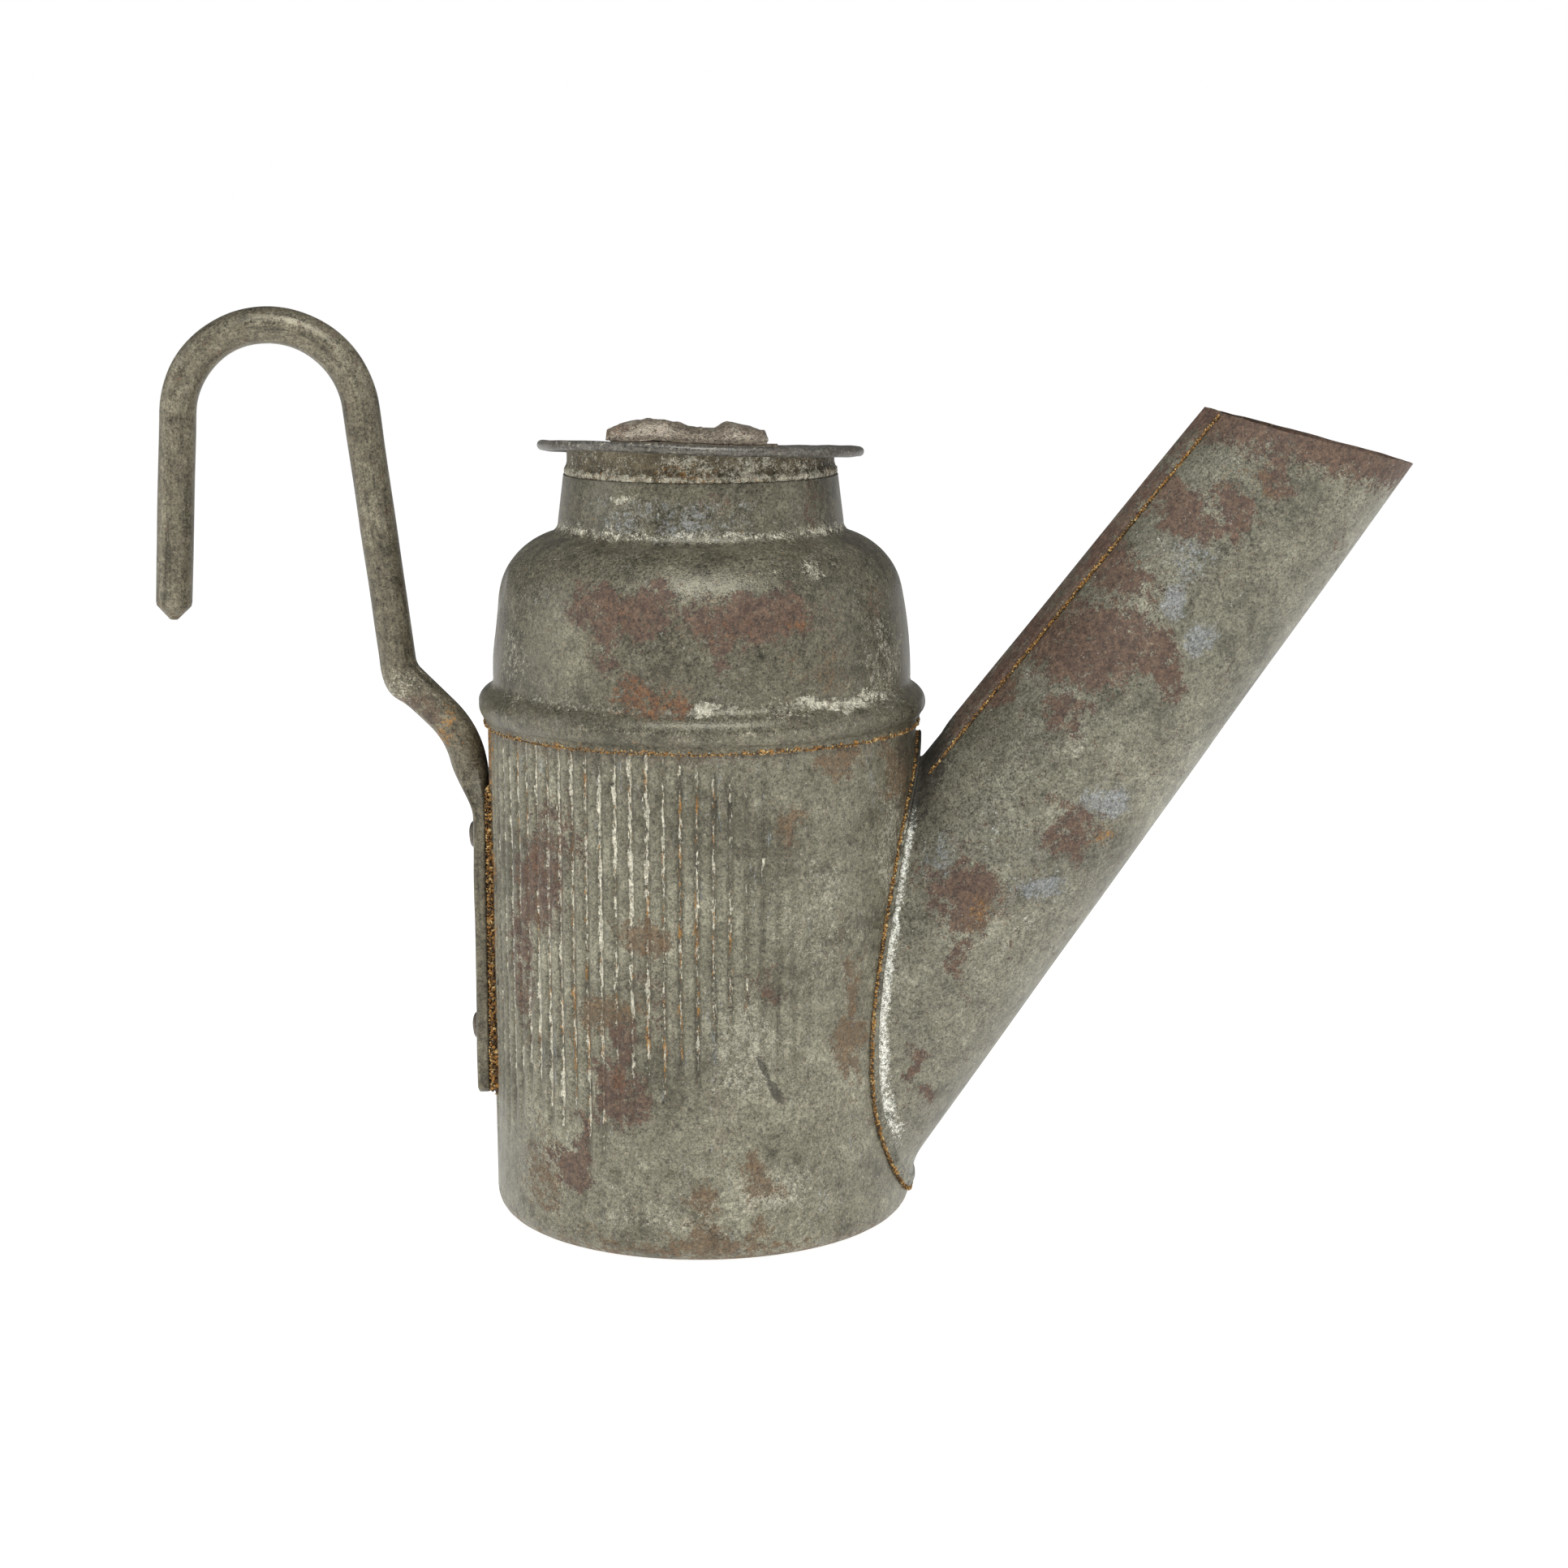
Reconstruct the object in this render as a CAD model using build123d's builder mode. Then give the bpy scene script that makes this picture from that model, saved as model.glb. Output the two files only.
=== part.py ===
from build123d import *

import os
from math import cos, pi, radians, sin, sqrt, tan

# Oil-wick lamp of tinned sheet steel: a drawn cup, a wide spout, a riveted hook and a push-in lid.
#
# Units are millimetres. Z is up, the cup's axis is the Z axis, and the foot stands on Z = 0.
# The spout points to +X and the hook is on the -X side.

os.makedirs("parts", exist_ok=True)

# ---------------------------------------------------------------- driving dimensions
sheet = 0.4  # thickness of the tinned sheet
solder_film = 0.03  # gap that solder fills between two sheets

# cup
foot_radius = 27.8  # outside, just above the corner
cup_flare = 0.4  # how much wider the cup is at its upper edge
foot_corner = 3.0  # outside radius of the drawn corner
cup_height = 70.0

# flutes pressed into the cup; each is deepest at its upper end and runs out lower down
flutes_per_turn = 84
flute_count = 58  # the rest are left out at the spout
flute_radius = 1.4
flute_depth = 0.22
flute_gap = 1.5  # from the skirt down to the flutes
flute_bottom = 14.0

# shoulder: skirt, bead, dome and neck drawn from one sheet
skirt_lap = 4.0  # how far the skirt comes down over the cup
skirt_clearance = 0.05  # radial, over the cup
skirt_band = 0.8  # straight part under the bead
bead_rise = 0.66  # the bead stands this far out of the skirt
bead_height = 2.3  # middle of the bead, above the skirt's edge
crease_step = 1.04  # the dome starts this far inside the skirt's outside
crease_gap = 0.4  # above the cup's edge, past the bend of the sheet
crease_round = 0.8
dome_fall = 1.4  # how far the dome's side leans in
dome_side_height = 12.3  # above the crease
dome_top_height = 7.0  # above the side
neck_ledge = 1.2  # from the dome's top in to the neck
neck_root_height = 1.7  # above the dome's top
neck_flare = 0.75
neck_height = 6.0
neck_rim_radius = 17.85

# spout
spout_angle = 53.5  # degrees above level
spout_foot_height = 7.12  # where the spout's lower line would meet the cup's wall
spout_root_radius = 15.87  # outside, where the spout's axis passes through the cup's wall
spout_taper = 2.02  # degrees, each side
spout_length = 86.1  # along the axis, from the cup's wall to the mouth
spout_inner_reach = 1.2  # how far the bore's cone runs on inside the cup, as a share of its root
mouth_slope = 14.6  # degrees that the mouth falls away from the cup
saddle_margin = 1.6  # flange left round the spout's root
saddle_thickness = 0.5
seam_height = 0.6  # the folded lock seam along the upper side
seam_first = 5.0  # degrees round from the spout's upper line, towards -Y
seam_turn = 17.0  # degrees

# hook; its places are outwards from the rod's lower end, and up from the skirt's edge
rod_radius = 2.38
arch_radius = 11.9  # centre line
arch_reach = 25.22
arch_height = 39.4
point_arm_length = 25.2
point_arm_lean = 3.2  # degrees from upright
rise_arm_lean = 5.5
upper_bend_reach = 10.17  # where the centre line's straight runs meet
upper_bend_height = 7.6
lower_bend_drop = 3.0
bend_radius = 6.5
point_length = 1.8  # of the blunt cone at the hook's end
rod_end_drop = 6.4
strip_drop = 12.5  # from the skirt's edge down to the flat strip
strip_length = 37.4
strip_thickness = 1.9
strip_clearance = 0.05  # off the cup's wall

# rivets
rivet_insets = (3.1, 29.2)  # down from the strip's upper end
rivet_shank_radius = 1.2
rivet_head_radius = 1.8
rivet_head_height = 0.85  # of the tail, too
rivet_head_round = 0.765
rivet_clearance = 0.02  # radial, in the strip and the cup

# lid
disc_overhang = 3.83  # past the plug
disc_roll_radius = 0.65
disc_sheet = 0.45
disc_stand = 3.1  # from the neck's rim up to the disc's underside, on the cup's axis
disc_tilt_front = 3.95  # degrees that the bent disc rises towards -Y
disc_tilt_left = 1.0  # degrees that it rises towards -X
plug_clearance = 0.08  # radial, in the neck
plug_depth = 5.0  # below the neck's rim
plug_bead_rise = 0.38
plug_bead_height = 1.3
plug_seat_gap = 0.02
grip_length = 23.0
grip_width = 9.0
grip_height = 2.6
grip_offset = -1.4  # middle of the grip, along X
# the crushed strap between its two feet: shares of its length and of its height
grip_waves = ((0.16, 0.75), (0.38, 1.0), (0.53, 0.7), (0.68, 0.95), (0.92, 0.75))
grip_left_foot = 0.10
grip_right_foot = 0.84  # the strap folds back under itself to this share of its length


# ---------------------------------------------------------------- values and planes that follow
def cup_radius(height):
    """Outside radius of the cup's wall at a height above the corner."""
    return foot_radius + cup_flare * (height - foot_corner) / (cup_height - foot_corner)


skirt_edge = cup_height - skirt_lap
skirt_radius = cup_radius(skirt_edge) + skirt_clearance + sheet
bead_top = (skirt_radius + bead_rise, skirt_edge + bead_height)
crease = (skirt_radius - crease_step, cup_height + crease_gap + 2 * sheet)
dome_side = (crease[0] - dome_fall, crease[1] + dome_side_height)
neck_root_radius = neck_rim_radius + neck_flare
dome_top = (neck_root_radius + neck_ledge, dome_side[1] + dome_top_height)
neck_root = (neck_root_radius, dome_top[1] + neck_root_height)
neck_rim = (neck_rim_radius, neck_root[1] + neck_height)
flute_top = skirt_edge - flute_gap

strip_top = skirt_edge - strip_drop
strip_bottom = strip_top - strip_length
strip_width = pi * rod_radius**2 / strip_thickness  # the rod's metal, flattened
strip_back = -(cup_radius(strip_top) + strip_clearance)
strip_centre = strip_back - strip_thickness / 2
strip_face = strip_back - strip_thickness
rod_end = (strip_back - rod_radius, skirt_edge - rod_end_drop)
lower_bend = (rod_end[0], skirt_edge - lower_bend_drop)
upper_bend = (rod_end[0] - upper_bend_reach, skirt_edge + upper_bend_height)
arch_centre = (rod_end[0] - arch_reach, skirt_edge + arch_height)
arch_turn = 180 - point_arm_lean - rise_arm_lean
rivet_heights = [strip_top - inset for inset in rivet_insets]

plug_radius = neck_rim_radius - sheet - plug_clearance
plug_bottom = neck_rim[1] - plug_depth
plug_bead_radius = plug_radius + plug_bead_rise
plug_bead_bottom = neck_rim[1] + plug_seat_gap
plug_bead_top = plug_bead_bottom + plug_bead_height
disc_height = neck_rim[1] + disc_stand
disc_radius = plug_radius + disc_overhang

spout_root_height = spout_foot_height + spout_root_radius / cos(radians(spout_angle))
spout_direction = Vector(cos(radians(spout_angle)), 0, sin(radians(spout_angle)))
spout_root = Vector(cup_radius(spout_root_height), 0, spout_root_height)
spout_axis = Axis(spout_root, spout_direction)
spout_inner_end = -spout_inner_reach * spout_root_radius * tan(radians(spout_angle))
spout_outer_end = spout_length + 2 * spout_root_radius  # past the slanted mouth
mouth_plane = Plane(
    origin=spout_root + spout_direction * spout_length,
    x_dir=(0, 1, 0),
    z_dir=(sin(radians(mouth_slope)), 0, cos(radians(mouth_slope))),
)

disc_rise = Vector(0, 0, 1).rotate(Axis.X, -disc_tilt_front).rotate(Axis.Y, disc_tilt_left)
disc_plane = Plane(origin=(0, 0, disc_height), x_dir=(cos(radians(disc_tilt_left)), 0, 0), z_dir=disc_rise)


def rivet_tail_seat(height):
    """Where along X a rivet's flat tail meets the hollow inside of the cup's wall."""
    inner_radius = cup_radius(height) - sheet
    return rivet_clearance - sqrt(inner_radius**2 - rivet_head_radius**2)


def spout_section(angle):
    """Plane through the spout's axis: local x is outwards and local y is along the axis.

    The angle goes round from the spout's upper line, towards -Y.
    """
    upper = Vector(-sin(radians(spout_angle)), 0, cos(radians(spout_angle)))
    outwards = upper * cos(radians(angle)) + Vector(0, -1, 0) * sin(radians(angle))
    return Plane(origin=spout_root, x_dir=outwards, z_dir=outwards.cross(spout_direction))


def draw_spout_cone(extra, from_axis=True):
    """Draw, in the current BuildLine, half the section of a cone this much larger than the spout."""
    stations = (spout_inner_end, spout_outer_end)
    first, last = (spout_root_radius - station * tan(radians(spout_taper)) for station in stations)
    inner = (0, 0) if from_axis else (first - sheet, last - sheet)
    Polyline(
        (inner[0], spout_inner_end),
        (first + extra, spout_inner_end),
        (last + extra, spout_outer_end),
        (inner[1], spout_outer_end),
        close=True,
    )


def draw_cup_outline(extra):
    """Draw, in the current BuildLine, a line this far outside the cup, from its axis to its edge."""
    flat = foot_radius - foot_corner
    Line((0, -extra), (flat, -extra))
    CenterArc((flat, foot_corner), foot_corner + extra, -90, 90)
    Line((foot_radius + extra, foot_corner), (foot_radius + cup_flare + extra, cup_height))


def cup_solid(extra):
    """A full solid with the cup's outside shape, this much larger all round."""
    with BuildPart(mode=Mode.PRIVATE) as solid:
        with BuildSketch(Plane.XZ):
            with BuildLine():
                draw_cup_outline(extra)
                Polyline((foot_radius + cup_flare + extra, cup_height), (0, cup_height), (0, -extra))
            make_face()
        revolve(axis=Axis.Z)
    return solid.part


def spout_solid(extra):
    """A full solid with the spout's cone, this much larger all round."""
    with BuildPart(mode=Mode.PRIVATE) as solid:
        with BuildSketch(spout_section(0)):
            with BuildLine():
                draw_spout_cone(extra)
            make_face()
        revolve(axis=spout_axis)
    return solid.part


# ---------------------------------------------------------------- cutting bodies
cup_space = cup_solid(solder_film)  # the cup and the solder on its outside
spout_bore = spout_solid(-sheet)

with BuildPart() as flute_tool:
    tool_reach = flute_radius - flute_depth  # its axis stands this far outside the wall at the top
    upper_end = Vector(cup_radius(flute_top) + tool_reach, 0, flute_top)
    lower_end = Vector(cup_radius(flute_bottom) + flute_radius, 0, flute_bottom)
    with BuildSketch(Plane(origin=upper_end, z_dir=lower_end - upper_end)):
        Circle(flute_radius)
    extrude(amount=(lower_end - upper_end).length)

# ---------------------------------------------------------------- cup
with BuildPart() as font_body:
    with BuildSketch(Plane.XZ):
        with BuildLine():
            draw_cup_outline(0)
            offset(amount=sheet, side=Side.LEFT, closed=True, mode=Mode.REPLACE)
        make_face()
    revolve(axis=Axis.Z)
    add(spout_bore, mode=Mode.SUBTRACT)
    with BuildSketch(Plane.YZ.offset(strip_centre)):
        with Locations(*[(0, height) for height in rivet_heights]):
            Circle(rivet_shank_radius + rivet_clearance)
    extrude(amount=2 * strip_thickness, mode=Mode.SUBTRACT)
    flute_turn = (flute_count - 1) * 360 / flutes_per_turn  # about the hook, clear of the saddle
    with PolarLocations(0, flute_count, 180 - flute_turn / 2, flute_turn, endpoint=True):
        add(flute_tool.part, mode=Mode.SUBTRACT)
font_body.part.label = "font_body"

# ---------------------------------------------------------------- shoulder
with BuildPart() as shoulder:
    with BuildSketch(Plane.XZ):
        with BuildLine():
            skirt = Line((skirt_radius, skirt_edge), (skirt_radius, skirt_edge + skirt_band))
            bead_end = (crease[0] + crease_round, crease[1] - crease_round)
            bead = ThreePointArc(skirt @ 1, bead_top, bead_end)
            hollow = TangentArc(bead @ 1, (crease[0], crease[1] + crease_round), tangent=bead % 1)
            side = TangentArc(hollow @ 1, dome_side, tangent=(0, 1))
            dome = TangentArc(side @ 1, dome_top, tangent=side % 1)
            TangentArc(dome @ 1, neck_root, tangent=dome % 1)
            Line(neck_root, neck_rim)
            offset(amount=sheet, side=Side.LEFT, closed=True, mode=Mode.REPLACE)
        make_face()
    revolve(axis=Axis.Z)
shoulder.part.label = "shoulder"

# ---------------------------------------------------------------- spout
with BuildPart() as saddle:  # the flange that lies on the cup's wall
    add(cup_solid(solder_film + saddle_thickness))
    add(spout_solid(saddle_margin), mode=Mode.INTERSECT)

with BuildPart() as spout:
    add(spout_solid(0))
    with BuildSketch(spout_section(seam_first)):
        with BuildLine():
            draw_spout_cone(seam_height, from_axis=False)
        make_face()
    revolve(axis=spout_axis, revolution_arc=seam_turn)
    split(bisect_by=mouth_plane, keep=Keep.BOTTOM)
    add(saddle.part)
    add(cup_space, mode=Mode.SUBTRACT)
    add(spout_bore, mode=Mode.SUBTRACT)
spout.part.label = "spout"

# ---------------------------------------------------------------- hook
with BuildPart() as hook:
    with BuildLine(Plane.XZ) as centre_line:
        arch = CenterArc(arch_centre, arch_radius, rise_arm_lean, arch_turn)
        PolarLine(arch @ 1, point_arm_length, 270 - point_arm_lean)
        FilletPolyline(arch @ 0, upper_bend, lower_bend, rod_end, radius=bend_radius)
    with BuildSketch(Plane.XY.offset(rod_end[1])) as rod_section:
        with Locations((rod_end[0], 0)):
            Circle(rod_radius)
    sweep(path=centre_line.line)
    point_face = hook.faces().filter_by(GeomType.PLANE).sort_by(Axis.X)[0]
    chamfer(point_face.edges(), length=point_length)
    with BuildSketch(Plane.XY.offset(strip_top)) as strip_section:
        with Locations((strip_centre, 0)):
            SlotOverall(strip_width, strip_thickness, rotation=90)
    extrude(amount=-strip_length)
    loft(sections=[rod_section.sketch, strip_section.sketch])
    with BuildSketch(Plane.YZ.offset(strip_centre)):
        with Locations(*[(0, height) for height in rivet_heights]):
            Circle(rivet_shank_radius + rivet_clearance)
    extrude(amount=strip_thickness, both=True, mode=Mode.SUBTRACT)
hook.part.label = "hook"

# ---------------------------------------------------------------- rivets
# domed heads outside, flat tails inside the cup
with BuildPart() as hook_rivets:
    for height in rivet_heights:
        tail_seat = rivet_tail_seat(height)
        with BuildSketch(Plane.YZ.offset(strip_face)):
            with Locations((0, height)):
                Circle(rivet_shank_radius)
        extrude(amount=tail_seat - strip_face)
        with BuildSketch(Plane.YZ.offset(tail_seat), Plane.YZ.offset(strip_face - rivet_head_height)):
            with Locations((0, height)):
                Circle(rivet_head_radius)
        extrude(amount=rivet_head_height)
    head_tops = hook_rivets.faces().filter_by(Axis.X).group_by(Axis.X)[0]
    fillet(head_tops.edges(), rivet_head_round)
hook_rivets.part.label = "hook_rivets"

# ---------------------------------------------------------------- lid
def across(plane):
    """Upright plane along X through the origin of the bent disc's plane, or of one parallel to it."""
    return Plane(origin=plane.origin, x_dir=plane.x_dir, z_dir=-plane.y_dir)


with BuildPart() as lid_disc:
    roll_centre = disc_radius - disc_roll_radius
    with BuildSketch(across(disc_plane)):
        with Locations((roll_centre / 2, disc_sheet / 2)):
            Rectangle(roll_centre, disc_sheet)
        with Locations((roll_centre, 0)):
            Circle(disc_roll_radius)
    revolve(axis=Axis(disc_plane.origin, disc_plane.z_dir))
lid_disc.part.label = "lid_disc"

with BuildPart() as lid_plug:
    with BuildSketch(Plane.XZ):
        with BuildLine():
            bead_under = Polyline(
                (plug_radius - sheet, plug_bottom),
                (plug_radius, plug_bottom),
                (plug_radius, plug_bead_bottom),
                (plug_bead_radius, plug_bead_bottom),
            )
            bead_over = TangentArc(bead_under @ 1, (plug_radius, plug_bead_top), tangent=(0, 1))
            Polyline(
                bead_over @ 1,
                (plug_radius, disc_height + plug_radius),
                (plug_radius - sheet, disc_height + plug_radius),
                (plug_radius - sheet, plug_bottom),
            )
        make_face()
    revolve(axis=Axis.Z)
    split(bisect_by=disc_plane, keep=Keep.BOTTOM)
lid_plug.part.label = "lid_plug"

with BuildPart() as lid_grip:
    with BuildSketch(across(disc_plane.offset(disc_sheet))):
        with BuildLine():
            left = grip_offset - grip_length / 2
            crests = [(left + along * grip_length, high * grip_height) for along, high in grip_waves]
            foot = sheet / 2
            Polyline(
                (left, foot),
                (left + grip_left_foot * grip_length, foot),
                *crests,
                (left + grip_right_foot * grip_length, foot),
                (left + grip_length, foot),
            )
        trace(line_width=sheet)
    extrude(amount=grip_width / 2, both=True)
lid_grip.part.label = "lid_grip"

for piece in (font_body, shoulder, spout, hook, hook_rivets, lid_disc, lid_plug, lid_grip):
    export_step(piece.part, f"parts/{piece.part.label}.step")
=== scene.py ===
"""Oil-wick lamp of tinned sheet steel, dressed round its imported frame.

A drawn and fluted cup, a shoulder with a neck, a wide spout, a riveted hook and a push-in lid.
Lengths are metres and angles are radians. Z is up, the spout points to +X and the front is -Y.
"""

import logging
from dataclasses import dataclass, field
from enum import Enum
from math import atan2, cos, pi, radians, sin, tan

import bmesh
import bpy
import numpy as np
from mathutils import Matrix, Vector, noise


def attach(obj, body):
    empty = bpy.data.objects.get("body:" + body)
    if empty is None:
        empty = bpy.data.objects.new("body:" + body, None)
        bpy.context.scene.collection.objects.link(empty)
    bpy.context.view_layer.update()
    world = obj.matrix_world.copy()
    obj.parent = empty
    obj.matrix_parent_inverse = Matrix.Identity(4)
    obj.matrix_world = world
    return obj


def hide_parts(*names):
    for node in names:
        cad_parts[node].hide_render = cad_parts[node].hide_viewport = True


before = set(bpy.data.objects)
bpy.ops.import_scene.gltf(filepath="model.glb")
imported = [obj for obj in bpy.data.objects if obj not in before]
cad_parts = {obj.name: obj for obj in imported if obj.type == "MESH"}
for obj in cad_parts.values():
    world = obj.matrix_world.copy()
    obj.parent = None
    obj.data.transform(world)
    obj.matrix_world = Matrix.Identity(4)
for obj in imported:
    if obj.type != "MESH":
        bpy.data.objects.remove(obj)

CREASE_ANGLE = radians(38)
NOISE_SEED = 5  # without a seed, the noise would change from run to run
LOG = logging.getLogger("lamp")

Grid = np.ndarray
Colour = tuple[float, float, float]
Point = tuple[float, float, float]


# ---------------------------------------------------------------- lines, grids and skins
def ease(low: float, high: float, value: Grid) -> Grid:
    """Rise smoothly from 0 at low to 1 at high.

    Args:
        low: where the rise starts.
        high: where it ends.
        value: the numbers to ease.

    Returns:
        The eased numbers, each from 0 to 1.
    """
    share = np.clip((value - low) / (high - low), 0, 1)
    return share * share * (3 - 2 * share)


class Outline:
    """A flat line drawn from its start in straight runs and tangent arcs."""

    def __init__(self, start: tuple[float, float], heading: tuple[float, float] = (0, 1)) -> None:
        """Put down the first point.

        Args:
            start: the first point.
            heading: the direction in which the line sets off.
        """
        self.points = [np.array(start, float)]
        self.heading = np.array(heading, float)

    def line_to(self, end: tuple[float, float], steps: int = 1) -> "Outline":
        """Draw a straight run.

        Args:
            end: where the run ends.
            steps: how many parts the run is drawn in.

        Returns:
            The outline itself.
        """
        start, end = self.points[-1], np.array(end, float)
        self.points += [start + (end - start) * step / steps for step in range(1, steps + 1)]
        self.heading = (end - start) / np.linalg.norm(end - start)
        return self

    def arc_to(self, end: tuple[float, float], steps: int = 8) -> "Outline":
        """Draw the arc that leaves along the present heading.

        Args:
            end: where the arc ends.
            steps: how many parts the arc is drawn in.

        Returns:
            The outline itself.
        """
        start, end = self.points[-1], np.array(end, float)
        chord, left = end - start, np.array((-self.heading[1], self.heading[0]))
        sideways, onwards = chord @ left, chord @ self.heading
        centre = start + left * (chord @ chord) / (2 * sideways)
        turn = 2 * atan2(sideways, onwards)
        for step in range(1, steps + 1):
            self.points.append(centre + self.turned(start - centre, turn * step / steps))
        self.heading = self.turned(self.heading, turn)
        return self

    def arc_through(self, middle: tuple[float, float], end: tuple[float, float], steps: int) -> "Outline":
        """Draw the arc through three points.

        Args:
            middle: a point on the arc.
            end: where the arc ends.
            steps: how many parts the arc is drawn in.

        Returns:
            The outline itself.
        """
        start, middle, end = self.points[-1], np.array(middle, float), np.array(end, float)
        sides = 2 * np.array((middle - start, end - start))
        squares = np.array((middle @ middle - start @ start, end @ end - start @ start))
        spoke = start - np.linalg.solve(sides, squares)
        heading = np.array((-spoke[1], spoke[0])) / np.linalg.norm(spoke)
        self.heading = heading if heading @ (middle - start) > 0 else -heading
        return self.arc_to(end, steps)

    def round_corner(self, corner: np.ndarray, after: np.ndarray, radius: float, step: float) -> "Outline":
        """Draw up to a corner and round it.

        Args:
            corner: where the two runs would meet.
            after: a point on the run that follows.
            radius: the rounding's radius.
            step: about how long each part is.

        Returns:
            The outline itself.
        """
        inwards = corner - self.points[-1]
        outwards = after - corner
        inwards, outwards = inwards / np.linalg.norm(inwards), outwards / np.linalg.norm(outwards)
        turn = atan2(inwards[0] * outwards[1] - inwards[1] * outwards[0], inwards @ outwards)
        cut = radius * tan(abs(turn) / 2)
        self.line_to(corner - inwards * cut, max(2, round((np.linalg.norm(corner - self.points[-1]) - cut) / step)))
        return self.arc_to(corner + outwards * cut, max(3, round(radius * abs(turn) / step)))

    @staticmethod
    def turned(arrow: np.ndarray, turn: float) -> np.ndarray:
        """Turn a flat arrow anticlockwise."""
        return np.array((arrow[0] * cos(turn) - arrow[1] * sin(turn), arrow[0] * sin(turn) + arrow[1] * cos(turn)))

    def array(self) -> np.ndarray:
        """Give the points drawn so far, one to a row."""
        return np.array(self.points)

    def walled(self, sheet: float) -> np.ndarray:
        """Give the closed outline of a sheet whose other face is on the line's left.

        Args:
            sheet: the sheet's thickness.

        Returns:
            The closed outline's points.
        """
        line = self.array()
        return np.concatenate((line, (line + left_of(line) * sheet)[::-1]))


def left_of(line: Grid) -> Grid:
    """Give the unit arrow to the left of a flat line, at each of its points."""
    heading = np.gradient(line, axis=0)
    heading /= np.linalg.norm(heading, axis=1)[:, None]
    return np.stack((-heading[:, 1], heading[:, 0]), axis=1)


def swells(points: Grid, size: float) -> Grid:
    """Give each point a smooth random arrow, which changes over about this size."""
    arrows = [noise.noise_vector(Vector(point / size)) for point in points.reshape(-1, 3)]
    return np.array(arrows).reshape(points.shape)


def lathe(outline: np.ndarray, columns: int) -> Grid:
    """Turn an outline of radii and heights about the Z axis.

    Args:
        outline: radii and heights, one pair to a row.
        columns: how many points go round.

    Returns:
        A grid of points with a row for each point of the outline.
    """
    turn = np.arange(columns) * 2 * pi / columns
    radius, height = outline[:, 0, None], outline[:, 1, None]
    return np.stack((radius * np.cos(turn), radius * np.sin(turn), height + 0 * turn), axis=-1)


def knock_about(grid: Grid, amount: float = 0.00013, size: float = 0.017) -> Grid:
    """Give thin sheet a slow unevenness that dies away below the neck, where the lid has to fit.

    Args:
        grid: the points.
        amount: the most that a point moves.
        size: how far apart the swells are.

    Returns:
        The moved points.
    """
    flat = grid.reshape(-1, 3)
    neck_fade = 1 - ease(0.085, 0.0915, flat[:, 2]) * (np.abs(flat[:, 0]) < 0.025)
    foot_fade = ease(0.0, 0.004, flat[:, 2])
    return (flat + swells(flat, size) * (amount * neck_fade * foot_fade)[:, None]).reshape(grid.shape)


def dent(grid: Grid, centre: Point, reach: float, depth: float) -> Grid:
    """Push a round dent towards the Z axis.

    Args:
        grid: the points.
        centre: the dent's deepest place.
        reach: the dent's radius.
        depth: how deep it is.

    Returns:
        The moved points.
    """
    share = np.clip(1 - (np.linalg.norm(grid - np.array(centre), axis=-1) / reach) ** 2, 0, 1) ** 2
    spoke = grid * np.array((1, 1, 0))
    spoke /= np.maximum(np.linalg.norm(spoke, axis=-1, keepdims=True), 1e-9)
    return grid - spoke * (share * depth)[..., None]


def new_piece(name: str, mesh: bpy.types.Mesh) -> bpy.types.Object:
    """Link a mesh into the scene as an object at the origin."""
    piece = bpy.data.objects.new(name, mesh)
    bpy.context.scene.collection.objects.link(piece)
    return piece


def skin(name: str, grid: Grid, closed_rows: bool, values: dict[str, Grid] | None = None) -> bpy.types.Object:
    """Skin a grid whose columns go all the way round.

    Args:
        name: the piece's name.
        grid: rows x columns x 3 points.
        closed_rows: whether the last row joins the first. If not, each end gets a fan to its middle.
        values: numbers, or vectors, for each point, by name.

    Returns:
        The new object, with its faces outwards.
    """
    rows, columns, _ = grid.shape
    index = np.arange(rows * columns).reshape(rows, columns)
    beside, above = np.roll(index, -1, axis=1), np.roll(index, -1, axis=0)
    quads = np.stack((index, beside, np.roll(above, -1, axis=1), above), axis=-1)
    faces = (quads if closed_rows else quads[:-1]).reshape(-1, 4).tolist()
    points = grid.reshape(-1, 3)
    if not closed_rows:
        points = np.concatenate((points, grid[[0, -1]].mean(axis=1)))
        first, last = rows * columns, rows * columns + 1
        faces += [(first, b, a) for a, b in zip(index[0].tolist(), beside[0].tolist())]
        faces += [(last, a, b) for a, b in zip(index[-1].tolist(), beside[-1].tolist())]
    mesh = bpy.data.meshes.new(name)
    mesh.from_pydata(points.tolist(), [], faces)
    for key, value in (values or {}).items():
        is_vector = value.ndim == 3
        flat = value.reshape(-1, 3) if is_vector else value.reshape(-1)
        spare = len(points) - len(flat)
        flat = np.concatenate((flat, flat[[0, -1]][:spare]))
        layer = mesh.attributes.new(key, "FLOAT_VECTOR" if is_vector else "FLOAT", "POINT")
        layer.data.foreach_set("vector" if is_vector else "value", flat.astype(np.float32).ravel())
    probe = bmesh.new()
    probe.from_mesh(mesh)
    if probe.calc_volume(signed=True) < 0:
        mesh.flip_normals()
    probe.free()
    mesh.shade_smooth()
    mesh.set_sharp_from_angle(angle=CREASE_ANGLE)
    return new_piece(name, mesh)


# ---------------------------------------------------------------- node trees
Feed = float | int | bool | tuple | bpy.types.NodeSocket


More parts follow.
